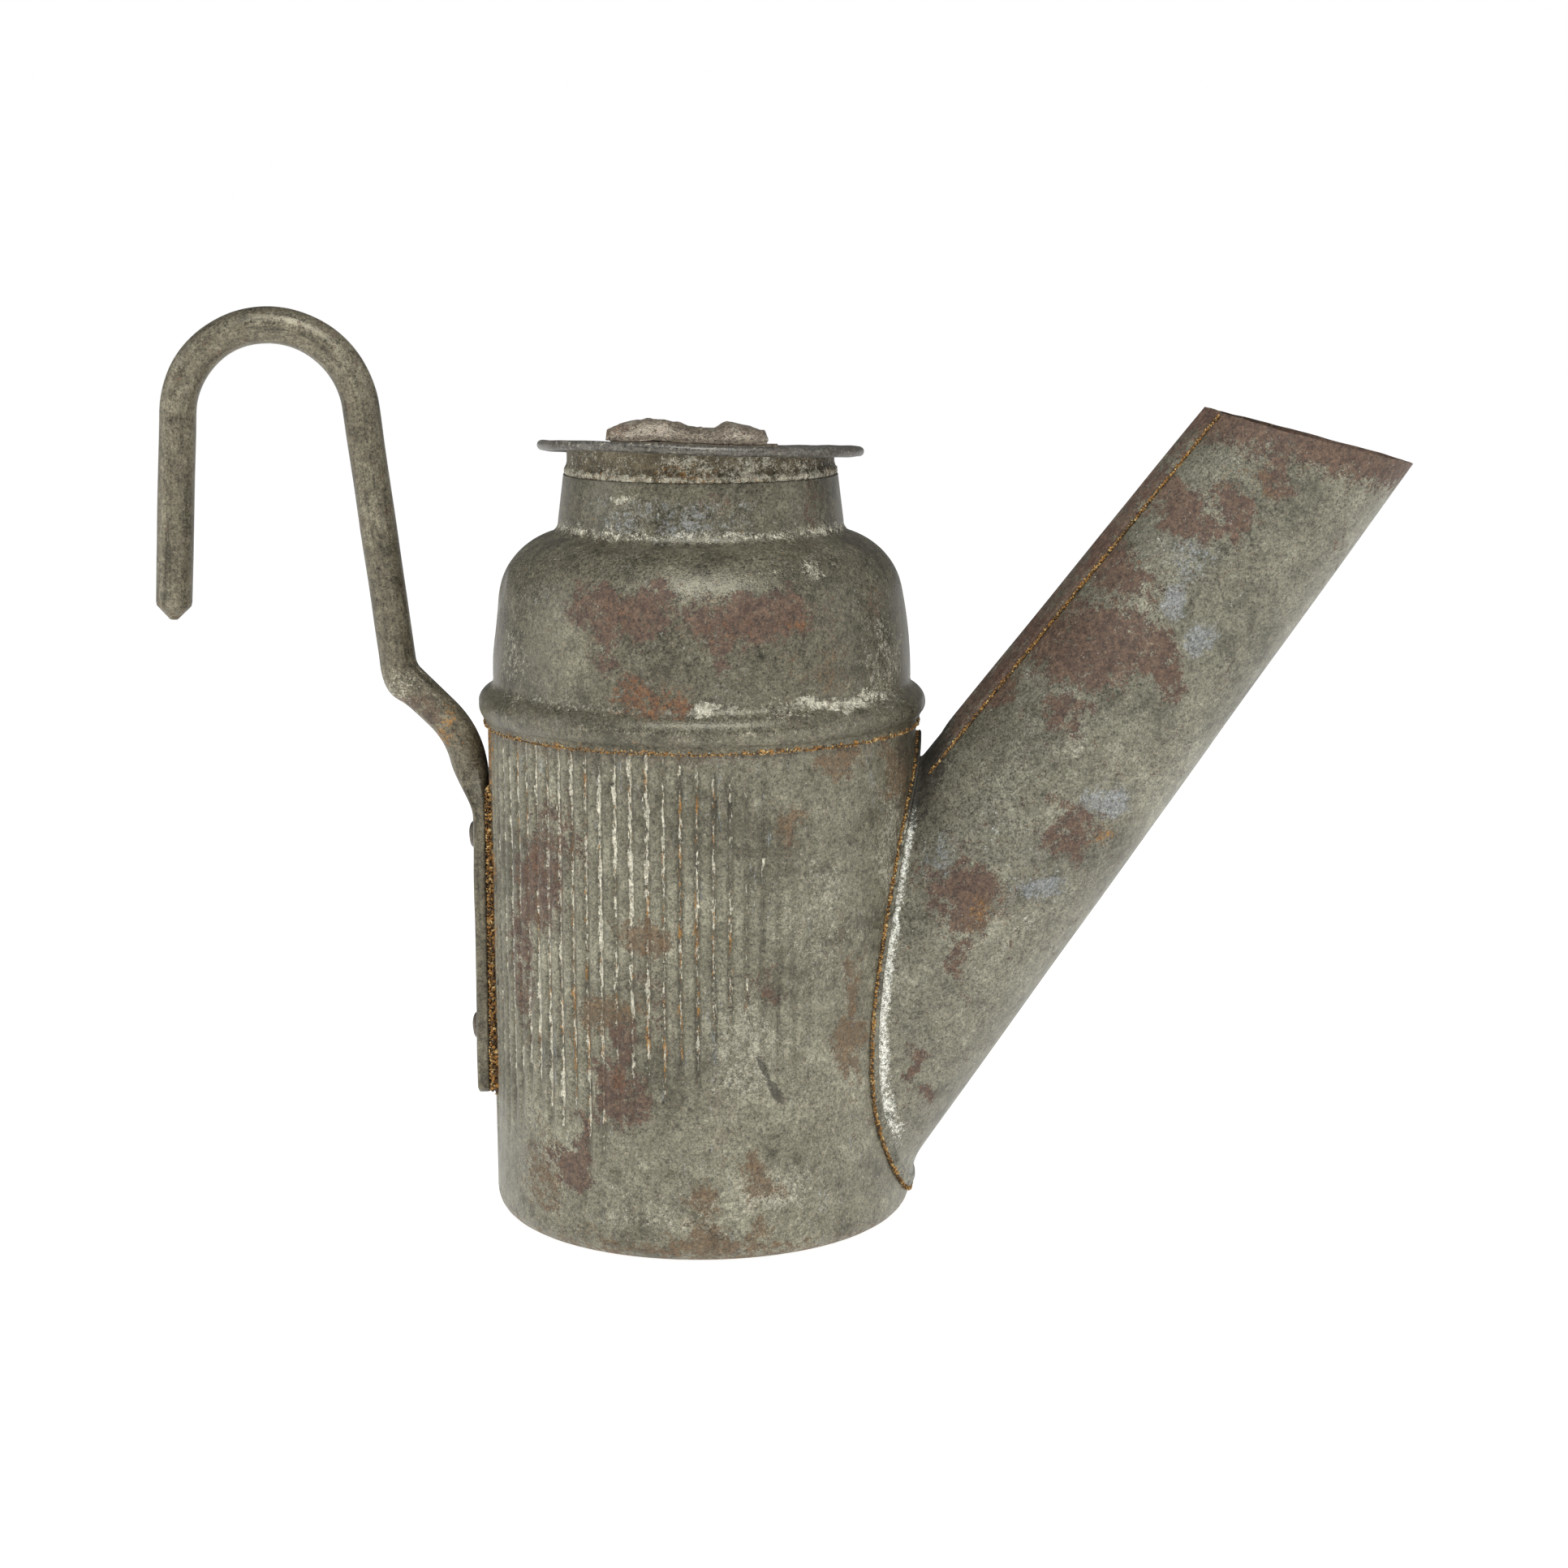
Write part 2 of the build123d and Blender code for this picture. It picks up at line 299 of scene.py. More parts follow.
class Graph:
    """Adds nodes to one tree and links them."""

    def __init__(self, tree: bpy.types.NodeTree) -> None:
        """Work on a tree."""
        self.tree = tree

    def feed(self, socket: bpy.types.NodeSocket, value: Feed) -> None:
        """Link a socket to another, or set its value.

        Args:
            socket: the input.
            value: an output socket, a number, or a tuple of numbers.
        """
        if isinstance(value, bpy.types.NodeSocket):
            self.tree.links.new(value, socket)
        elif socket.type == "RGBA" and len(value) == 3:
            socket.default_value = (*value, 1)
        else:
            socket.default_value = value

    def node(self, kind: str, inputs: dict[str | int, Feed] | None = None, **settings) -> bpy.types.Node:
        """Add a node.

        Args:
            kind: the node's type.
            inputs: what its inputs get, by name or place.
            settings: its properties.

        Returns:
            The node.
        """
        node = self.tree.nodes.new(kind)
        for key, value in settings.items():
            setattr(node, key, value)
        for key, value in (inputs or {}).items():
            self.feed(node.inputs[key], value)
        return node

    def math(self, operation: str, *values: Feed, clamp: bool = False) -> bpy.types.NodeSocket:
        """Work out a number from one, two or three others."""
        inputs = dict(enumerate(values))
        return self.node("ShaderNodeMath", inputs, operation=operation, use_clamp=clamp).outputs[0]

    def vector(self, operation: str, *values: Feed) -> bpy.types.NodeSocket:
        """Work out a vector from one or two others."""
        return self.node("ShaderNodeVectorMath", dict(enumerate(values)), operation=operation).outputs[0]

    def scaled(self, vector: Feed, scale: Feed) -> bpy.types.NodeSocket:
        """Make a vector longer or shorter."""
        inputs = {0: vector, "Scale": scale}
        return self.node("ShaderNodeVectorMath", inputs, operation="SCALE").outputs[0]

    def fade(self, value: Feed, low: Feed, high: Feed, start: Feed = 0.0, end: Feed = 1.0) -> bpy.types.NodeSocket:
        """Pass smoothly from start, at low, to end, at high."""
        inputs = {"Value": value, "From Min": low, "From Max": high, "To Min": start, "To Max": end}
        return self.node("ShaderNodeMapRange", inputs, interpolation_type="SMOOTHSTEP").outputs[0]

    def mix(self, share: Feed, first: Feed, second: Feed) -> bpy.types.NodeSocket:
        """Mix two colours."""
        return self.node("ShaderNodeMix", {0: share, 6: first, 7: second}, data_type="RGBA").outputs[2]

    def blend(self, share: Feed, first: Feed, second: Feed) -> bpy.types.NodeSocket:
        """Mix two numbers."""
        return self.node("ShaderNodeMix", {0: share, 2: first, 3: second}).outputs[0]

    def noise(self, place: Feed, size: Feed, detail: float = 2.0, rough: float = 0.5) -> bpy.types.NodeSocket:
        """Give noise about 0.5 whose blobs have this size."""
        scale = self.math("DIVIDE", 1.0, size) if isinstance(size, bpy.types.NodeSocket) else 1 / size
        inputs = {"Vector": place, "Scale": scale, "Detail": detail, "Roughness": rough}
        return self.node("ShaderNodeTexNoise", inputs).outputs[0]

    def attribute(self, name: str) -> bpy.types.Node:
        """Read one of the mesh's own attributes in a material."""
        return self.node("ShaderNodeAttribute", attribute_name=name)

    def group(self, tree: bpy.types.NodeTree, **inputs: Feed) -> bpy.types.NodeSocket:
        """Place a shared shader group, with each input by its name, and give its output."""
        return self.node("ShaderNodeGroup", inputs, node_tree=tree).outputs[0]

    def store(self, geometry: Feed, name: str, value: Feed, domain: str = "POINT") -> bpy.types.NodeSocket:
        """Keep a number by name on each point or instance.

        Args:
            geometry: what it is kept on.
            name: the attribute's name.
            value: the number.
            domain: POINT or INSTANCE.

        Returns:
            The geometry that carries it.
        """
        inputs = {"Geometry": geometry, "Name": name, "Value": value}
        return self.node("GeometryNodeStoreNamedAttribute", inputs, data_type="FLOAT", domain=domain).outputs[0]

    def end(self, result: bpy.types.NodeSocket, geometry: Feed, material: Feed) -> None:
        """End geometry nodes: make instances real and set their material.

        Args:
            result: the socket that takes the result.
            geometry: what has been built.
            material: the material's socket.
        """
        real = self.node("GeometryNodeRealizeInstances", {0: geometry}).outputs[0]
        inputs = {"Geometry": real, "Material": material}
        self.feed(result, self.node("GeometryNodeSetMaterial", inputs).outputs[0])


def new_material(name: str) -> tuple[bpy.types.Material, Graph, bpy.types.Node]:
    """Start a material, and give it with its graph and its shader."""
    material = bpy.data.materials.new(name)
    material.use_nodes = True
    return material, Graph(material.node_tree), material.node_tree.nodes["Principled BSDF"]


class Socket(Enum):
    """What a group's input or output carries."""

    NUMBER = "NodeSocketFloat"
    WHOLE = "NodeSocketInt"
    VECTOR = "NodeSocketVector"
    COLOUR = "NodeSocketColor"
    GEOMETRY = "NodeSocketGeometry"
    MATERIAL = "NodeSocketMaterial"


def new_tree(name: str, kind: str, inputs: dict[str, Socket], output: tuple[str, Socket]) -> tuple:
    """Start a group of nodes with named inputs and one output.

    Args:
        name: the group's name.
        kind: ShaderNodeTree or GeometryNodeTree.
        inputs: what each input carries, by name.
        output: the output's name and what it carries.

    Returns:
        The graph, the group's inputs by name, and the socket that takes the result.
    """
    tree = bpy.data.node_groups.new(name, kind)
    for key, socket in inputs.items():
        tree.interface.new_socket(name=key, in_out="INPUT", socket_type=socket.value)
    tree.interface.new_socket(name=output[0], in_out="OUTPUT", socket_type=output[1].value)
    graph = Graph(tree)
    given = graph.node("NodeGroupInput")
    result = graph.node("NodeGroupOutput")
    return graph, {key: given.outputs[key] for key in inputs}, result.inputs[0]


def run_tree(piece: bpy.types.Object, tree: bpy.types.NodeTree, values: dict[str, object]) -> bpy.types.Object:
    """Run geometry nodes on a piece and keep the result as its plain mesh.

    Args:
        piece: the object whose mesh goes in.
        tree: the geometry nodes.
        values: what each named input gets.

    Returns:
        The piece, with its new mesh and no modifier.
    """
    modifier = piece.modifiers.new(tree.name, "NODES")
    modifier.node_group = tree
    for item in tree.interface.items_tree:
        if item.in_out == "INPUT" and item.name in values:
            modifier[item.identifier] = values[item.name]
    return keep_result(piece)


def keep_result(piece: bpy.types.Object) -> bpy.types.Object:
    """Turn what a piece's modifiers give into its plain mesh, and drop them."""
    depsgraph = bpy.context.evaluated_depsgraph_get()
    evaluated = piece.evaluated_get(depsgraph)
    mesh = bpy.data.meshes.new_from_object(evaluated, preserve_all_data_layers=True, depsgraph=depsgraph)
    piece.modifiers.clear()
    piece.data = mesh
    return piece


# ---------------------------------------------------------------- effects that the finishes share
class Effects:
    """The shader groups that more than one finish uses, each built once."""

    patch_core, patch_rim = 0.35, 1.7  # where a patch starts to fade and is gone, as shares of its reach
    ragged_edge = (0.49, 0.58)  # the threshold, a little soft
    cloud_size, speckle_size = 0.011, 0.0019

    def __init__(self) -> None:
        """Build every group."""
        self.patch = self.build_patch()
        self.ragged = self.build_ragged()
        self.mottle = self.build_mottle()
        self.grain = self.build_grain()

    @staticmethod
    def build_patch() -> bpy.types.NodeTree:
        """Build a soft bump of 1 at a placed, leaning ellipsoid, falling to 0 round it."""
        sockets = {"Place": Socket.VECTOR, "Centre": Socket.VECTOR, "Reach": Socket.VECTOR, "Lean": Socket.NUMBER}
        graph, given, result = new_tree("placed_patch", "ShaderNodeTree", sockets, ("Bump", Socket.NUMBER))
        away = graph.vector("SUBTRACT", given["Place"], given["Centre"])
        turned = graph.node("ShaderNodeVectorRotate", {"Vector": away, "Angle": given["Lean"]}, rotation_type="Y_AXIS")
        share = graph.vector("DIVIDE", turned.outputs[0], given["Reach"])
        length = graph.node("ShaderNodeVectorMath", {0: share}, operation="LENGTH").outputs["Value"]
        graph.feed(result, graph.fade(length, Effects.patch_core, Effects.patch_rim, 1.0, 0.0))
        return graph.tree

    @staticmethod
    def build_ragged() -> bpy.types.NodeTree:
        """Build a mask with broken edges where a bias and noise together pass a threshold."""
        sockets = {"Place": Socket.VECTOR, "Bias": Socket.NUMBER, "Cover": Socket.NUMBER, "Size": Socket.NUMBER}
        graph, given, result = new_tree("ragged_mask", "ShaderNodeTree", sockets, ("Mask", Socket.NUMBER))
        size = given["Size"]
        slow = graph.noise(given["Place"], graph.math("MULTIPLY", size, 5.0), 3.0, 0.55)
        middling = graph.noise(given["Place"], size, 5.0, 0.7)
        fine = graph.noise(given["Place"], graph.math("MULTIPLY", size, 0.22), 3.0, 0.75)
        total = graph.math("ADD", given["Bias"], given["Cover"])
        for value, strength in ((slow, 1.0), (middling, 2.2), (fine, 2.1)):
            centred = graph.math("SUBTRACT", value, 0.5)
            total = graph.math("MULTIPLY_ADD", centred, strength, total)
        graph.feed(result, graph.fade(total, *Effects.ragged_edge))
        return graph.tree

    @staticmethod
    def build_mottle() -> bpy.types.NodeTree:
        """Build the clouded tone of old tin between a dark, a middle and a light colour."""
        sockets = {"Place": Socket.VECTOR, "Dark": Socket.COLOUR, "Middle": Socket.COLOUR, "Light": Socket.COLOUR}
        graph, given, result = new_tree("tin_mottle", "ShaderNodeTree", sockets, ("Colour", Socket.COLOUR))
        cloud = graph.noise(given["Place"], Effects.cloud_size, 5.0, 0.62)
        speckle = graph.noise(given["Place"], Effects.speckle_size, 4.0, 0.7)
        calmer = graph.math("MULTIPLY_ADD", cloud, 0.72, 0.14)
        tone = graph.math("MULTIPLY_ADD", graph.math("SUBTRACT", speckle, 0.5), 0.6, calmer)
        low = graph.mix(graph.fade(tone, 0.36, 0.5), given["Dark"], given["Middle"])
        graph.feed(result, graph.mix(graph.fade(tone, 0.5, 0.68), low, given["Light"]))
        return graph.tree

    @staticmethod
    def build_grain() -> bpy.types.NodeTree:
        """Build the salt and pepper of pitted tin, about 0."""
        sockets = {"Place": Socket.VECTOR, "Size": Socket.NUMBER}
        graph, given, result = new_tree("pitted_grain", "ShaderNodeTree", sockets, ("Grain", Socket.NUMBER))
        coarse = graph.noise(given["Place"], given["Size"], 2.0, 0.7)
        fine = graph.noise(given["Place"], graph.math("MULTIPLY", given["Size"], 0.45), 1.0, 0.5)
        graph.feed(result, graph.math("SUBTRACT", graph.math("ADD", coarse, fine), 1.0))
        return graph.tree


@dataclass(frozen=True)
class Patch:
    """A place where a stain gathers: its centre, its reach each way and its lean about Y."""

    centre: Point
    reach: Point
    lean: float = 0.0
    strength: float = 0.8


@dataclass(frozen=True)
class Mark:
    """How one kind of stain looks."""

    first: Colour
    second: Colour
    roughness: float
    relief: float


class Kind(Enum):
    """The kinds of stain on the old tin. The sooty kind also serves as painted shade, and the bright kind is a painted
    highlight over solder.
    """

    MAROON = Mark((0.066, 0.033, 0.021), (0.125, 0.07, 0.043), 0.72, 0.5)
    RED = Mark((0.2, 0.085, 0.032), (0.105, 0.055, 0.032), 0.8, 0.7)
    OCHRE = Mark((0.42, 0.2, 0.04), (0.2, 0.095, 0.028), 0.85, 0.8)
    RUSTY = Mark((0.15, 0.088, 0.04), (0.11, 0.073, 0.04), 0.75, 0.3)
    BROWN = Mark((0.125, 0.1, 0.065), (0.17, 0.14, 0.098), 0.6, 0.2)
    PALE = Mark((0.6, 0.56, 0.44), (0.4, 0.375, 0.285), 0.85, 0.6)
    BLUISH = Mark((0.33, 0.35, 0.37), (0.22, 0.235, 0.24), 0.8, 0.4)
    # soot dirt, also used as painted shade in the flute valleys, the valley over the spout and under the lid's disc
    SOOT_AND_SHADE = Mark((0.02, 0.017, 0.01), (0.05, 0.042, 0.028), 0.75, -0.3)
    # a painted highlight over shiny solder, for the spout's concave flare
    PAINTED_HIGHLIGHT_ON_SOLDER = Mark((0.85, 0.83, 0.74), (0.62, 0.6, 0.5), 0.35, 0.1)


@dataclass(frozen=True)
class Stain:
    """One layer of stain, or of painted shade or highlight: its kind, where it gathers and how broken it is."""

    kind: Kind
    cover: float = 0.0
    size: float = 0.0016
    patches: tuple[Patch, ...] = ()
    attribute: str = ""
    pull: float = 1.0
    opacity: float = 0.9
    stretch: Point = (1.0, 1.0, 1.0)


@dataclass(frozen=True)
class Finish:
    """The finish of one piece of old metal: its tones, its stains, any painted shade or highlight, and its gloss."""

    name: str
    dark: Colour
    middle: Colour
    light: Colour
    stains: tuple[Stain, ...] = ()
    metal: float = 0.42
    roughness: float = 0.44
    grain: float = 0.38
    grain_size: float = 0.0005
    relief: float = 0.00008
    streaks: str = ""
    # the attribute along whose hollows the tone is darkened as painted shade
    painted_hollow_shade: str = ""
    swell_size: float = 0.0013
    bump_strength: float = 0.55
    swirl_scale: float = 210.0
    swirl_limit: float = 0.0085

    def build(self, effects: Effects) -> bpy.types.Material:
        """Build the material.

        Args:
            effects: the shared groups.

        Returns:
            The new material.
        """
        material, graph, shader = new_material(self.name)
        place = graph.node("ShaderNodeTexCoord").outputs["Object"]
        colour = graph.group(effects.mottle, Place=place, Dark=self.dark, Middle=self.middle, Light=self.light)
        if self.streaks:
            colour = self.streak(graph, colour)
        # Painted shade: darken the tone towards the dark colour along the hollows.
        if self.painted_hollow_shade:
            hollow = graph.attribute(self.painted_hollow_shade).outputs["Fac"]
            colour = graph.mix(graph.fade(hollow, 0.02, 0.8, 0.0, 0.62), colour, self.dark)
        roughness, metal, height = self.roughness, self.metal, 0.5
        for stain in self.stains:
            mark = stain.kind.value
            mask = graph.math("MULTIPLY", self.mask(graph, effects, place, stain), stain.opacity)
            tone = graph.fade(graph.noise(place, stain.size * 0.8, 3.0, 0.6), 0.35, 0.65)
            colour = graph.mix(mask, colour, graph.mix(tone, mark.first, mark.second))
            roughness = graph.blend(mask, roughness, mark.roughness)
            metal = graph.blend(mask, metal, 0.0)
            height = graph.math("MULTIPLY_ADD", mask, mark.relief, height)
        grain = graph.group(effects.grain, Place=place, Size=self.grain_size)
        bright = graph.math("MULTIPLY_ADD", grain, self.grain * 5, 1.0)
        shaded = graph.scaled(colour, graph.math("MAXIMUM", bright, 0.3))
        graph.feed(shader.inputs["Base Color"], shaded)
        rough = graph.math("MULTIPLY_ADD", grain, 0.35, roughness, clamp=True)
        graph.feed(shader.inputs["Roughness"], rough)
        graph.feed(shader.inputs["Metallic"], metal)
        swell = graph.math("MULTIPLY_ADD", graph.noise(place, self.swell_size, 3.0, 0.6), 0.6, height)
        rise = graph.math("MULTIPLY_ADD", grain, 0.9, swell)
        bump = graph.node("ShaderNodeBump", {"Strength": self.bump_strength, "Distance": self.relief, "Height": rise})
        graph.feed(shader.inputs["Normal"], bump.outputs[0])
        return material

    def streak(self, graph: Graph, colour: bpy.types.NodeSocket) -> bpy.types.NodeSocket:
        """Darken and lighten the tone in lines along the metal.

        Args:
            graph: the material's graph.
            colour: the tone so far.

        Returns:
            The streaked tone.
        """
        place = graph.attribute(self.streaks).outputs["Vector"]
        lines = graph.noise(place, 0.0008, 5.0, 0.75)
        darker = graph.mix(graph.fade(lines, 0.48, 0.68, 0.0, 0.75), colour, tuple(0.55 * part for part in self.dark))
        return graph.mix(graph.fade(lines, 0.46, 0.3, 0.0, 0.5), darker, self.light)

    def mask(self, graph: Graph, effects: Effects, place: bpy.types.NodeSocket, stain: Stain) -> bpy.types.NodeSocket:
        """Work out where one stain lies.

        Args:
            graph: the material's graph.
            effects: the shared groups.
            place: the point in the object's own space.
            stain: the stain.

        Returns:
            The stain's mask.
        """
        bias = 0.0
        inputs = {"Vector": place, "Scale": self.swirl_scale, "Detail": 4.0}
        swirl = graph.vector("SUBTRACT", graph.node("ShaderNodeTexNoise", inputs).outputs[1], (0.5, 0.5, 0.5))
        swirl = graph.scaled(swirl, min(self.swirl_limit, 7 * stain.size))
        swirled = graph.vector("ADD", place, swirl)
        for patch in stain.patches:
            bump = graph.group(effects.patch, Place=swirled, Centre=patch.centre, Reach=patch.reach, Lean=patch.lean)
            bias = graph.math("MAXIMUM", bias, graph.math("MULTIPLY", bump, patch.strength))
        if stain.attribute:
            pull = graph.math("MULTIPLY", graph.attribute(stain.attribute).outputs["Fac"], stain.pull)
            bias = graph.math("MAXIMUM", bias, pull)
        stretched = graph.vector("MULTIPLY", place, stain.stretch)
        return graph.group(effects.ragged, Place=stretched, Bias=bias, Cover=stain.cover, Size=stain.size)


@dataclass(frozen=True)
class CrustFinish:
    """The finish of crumbs of rust or lime: each crumb has its own tone between two colours."""

    name: str
    first: Colour
    second: Colour
    third: Colour

    def build(self) -> bpy.types.Material:
        """Build the material.

        Returns:
            The new material.
        """
        material, graph, shader = new_material(self.name)
        place = graph.node("ShaderNodeTexCoord").outputs["Object"]
        tint = graph.attribute("tint").outputs["Fac"]
        colour = graph.mix(graph.fade(tint, 0.2, 0.6), self.first, self.second)
        colour = graph.mix(graph.fade(tint, 0.72, 0.95), colour, self.third)
        patchy = graph.noise(place, 0.004, 2.0, 0.5)
        colour = graph.mix(graph.fade(patchy, 0.55, 0.75, 0.0, 0.7), colour, self.first)
        graph.feed(shader.inputs["Base Color"], colour)
        graph.feed(shader.inputs["Roughness"], graph.fade(patchy, 0.3, 0.7, 0.75, 0.95))
        bump = graph.node("ShaderNodeBump", {"Strength": 0.6, "Distance": 0.00005})
        graph.feed(bump.inputs["Height"], graph.noise(place, 0.00012, 2.0, 0.6))
        graph.feed(shader.inputs["Normal"], bump.outputs[0])
        return material


# ---------------------------------------------------------------- crusts
class CrustTree:
    """Geometry nodes that scatter crumbs along a line."""

    def __init__(self) -> None:
        """Build the tree once, for every crust."""
        sockets = {
            "Geometry": Socket.GEOMETRY,
            "Spacing": Socket.NUMBER,
            "Crumb Radius": Socket.NUMBER,
            "Scatter": Socket.VECTOR,
            "Cover": Socket.NUMBER,
            "Gap Size": Socket.NUMBER,
            "Seed": Socket.WHOLE,
            "Material": Socket.MATERIAL,
        }
        graph, given, result = new_tree("crust_along_line", "GeometryNodeTree", sockets, ("Geometry", Socket.GEOMETRY))
        curve = graph.node("GeometryNodeMeshToCurve", {"Mesh": given["Geometry"]}).outputs[0]
        inputs = {"Curve": curve, "Length": given["Spacing"]}
        points = graph.node("GeometryNodeResampleCurve", inputs, mode="LENGTH").outputs[0]
        points = graph.node("GeometryNodeCurveToPoints", {0: points}, mode="EVALUATED").outputs[0]
        low = graph.scaled(given["Scatter"], -1.0)
        shift = self.random(graph, "FLOAT_VECTOR", low, given["Scatter"], given["Seed"])
        points = graph.node("GeometryNodeSetPosition", {"Geometry": points, "Offset": shift}).outputs[0]
        place = graph.node("GeometryNodeInputPosition").outputs[0]
        gaps = graph.noise(place, given["Gap Size"], 3.0, 0.6)
        kept = graph.math("LESS_THAN", gaps, given["Cover"])
        crumb = graph.node("GeometryNodeMeshIcoSphere", {"Radius": given["Crumb Radius"], "Subdivisions": 1})
        turn = self.random(graph, "FLOAT_VECTOR", (0.0, 0.0, 0.0), (6.28, 6.28, 6.28), given["Seed"])
        stretch = self.random(graph, "FLOAT_VECTOR", (0.3, 0.3, 0.3), (1.5, 1.2, 1.2), given["Seed"])
        crumbs = graph.node(
            "GeometryNodeInstanceOnPoints",
            {"Points": points, "Selection": kept, "Instance": crumb.outputs[0], "Rotation": turn, "Scale": stretch},
        ).outputs[0]
        tint = self.random(graph, "FLOAT", 0.0, 1.0, given["Seed"])
        graph.end(result, graph.store(crumbs, "tint", tint, "INSTANCE"), given["Material"])
        self.tree = graph.tree

    @staticmethod
    def random(graph: Graph, kind: str, low: Feed, high: Feed, seed: Feed) -> bpy.types.NodeSocket:
        """Give each point a random number or vector.

        Args:
            graph: the tree's graph.
            kind: FLOAT or FLOAT_VECTOR.
            low: the least value.
            high: the greatest value.
            seed: the seed's socket.

        Returns:
            The random value's socket.
        """
        node = graph.node("FunctionNodeRandomValue", data_type=kind)
        first, result = (0, 0) if kind == "FLOAT_VECTOR" else (2, 1)
        graph.feed(node.inputs[first], low)
        graph.feed(node.inputs[first + 1], high)
        graph.feed(node.inputs["Seed"], seed)
        return node.outputs[result]


@dataclass
class Crust:
    """A broken line of rust or lime crumbs."""

    name: str
    body: str
    slot: str
    spacing: float
    crumb: float
    scatter: Point
    cover: float = 0.55
    gap: float = 0.004
    seed: int = 1

    def build(self, tree: CrustTree, line: np.ndarray, finish: bpy.types.Material) -> bpy.types.Object:
        """Scatter the crumbs and dress them.

        Args:
            tree: the geometry nodes for crusts.
            line: the points of the line, one to a row.
            finish: the crumbs' material.

        Returns:
            The crust.
        """
        mesh = bpy.data.meshes.new(self.name)
        mesh.from_pydata(line.tolist(), [(start, start + 1) for start in range(len(line) - 1)], [])
        piece = new_piece(self.name, mesh)
        values = {
            "Spacing": self.spacing,
            "Crumb Radius": self.crumb,
            "Scatter": self.scatter,
            "Cover": self.cover,
            "Gap Size": self.gap,
            "Seed": self.seed,
            "Material": finish,
        }
        run_tree(piece, tree.tree, values)
        piece.data.shade_smooth()
        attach(piece, self.body)
        LOG.info("%s: %d crumb faces", self.name, len(piece.data.polygons))
        return piece


def settle(piece: bpy.types.Object, body: str, node: str, finish: bpy.types.Material) -> None:
    """Dress a finished piece and tie it to the frame.

    Args:
        piece: the finished piece.
        body: the body that it rides on.
        node: the CAD node that it stands for.
        finish: its material.
    """
    piece.data.materials.clear()
    piece.data.materials.append(finish)
    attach(piece, body)
    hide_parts(node)
    LOG.info("%s: %d faces", piece.name, len(piece.data.polygons))


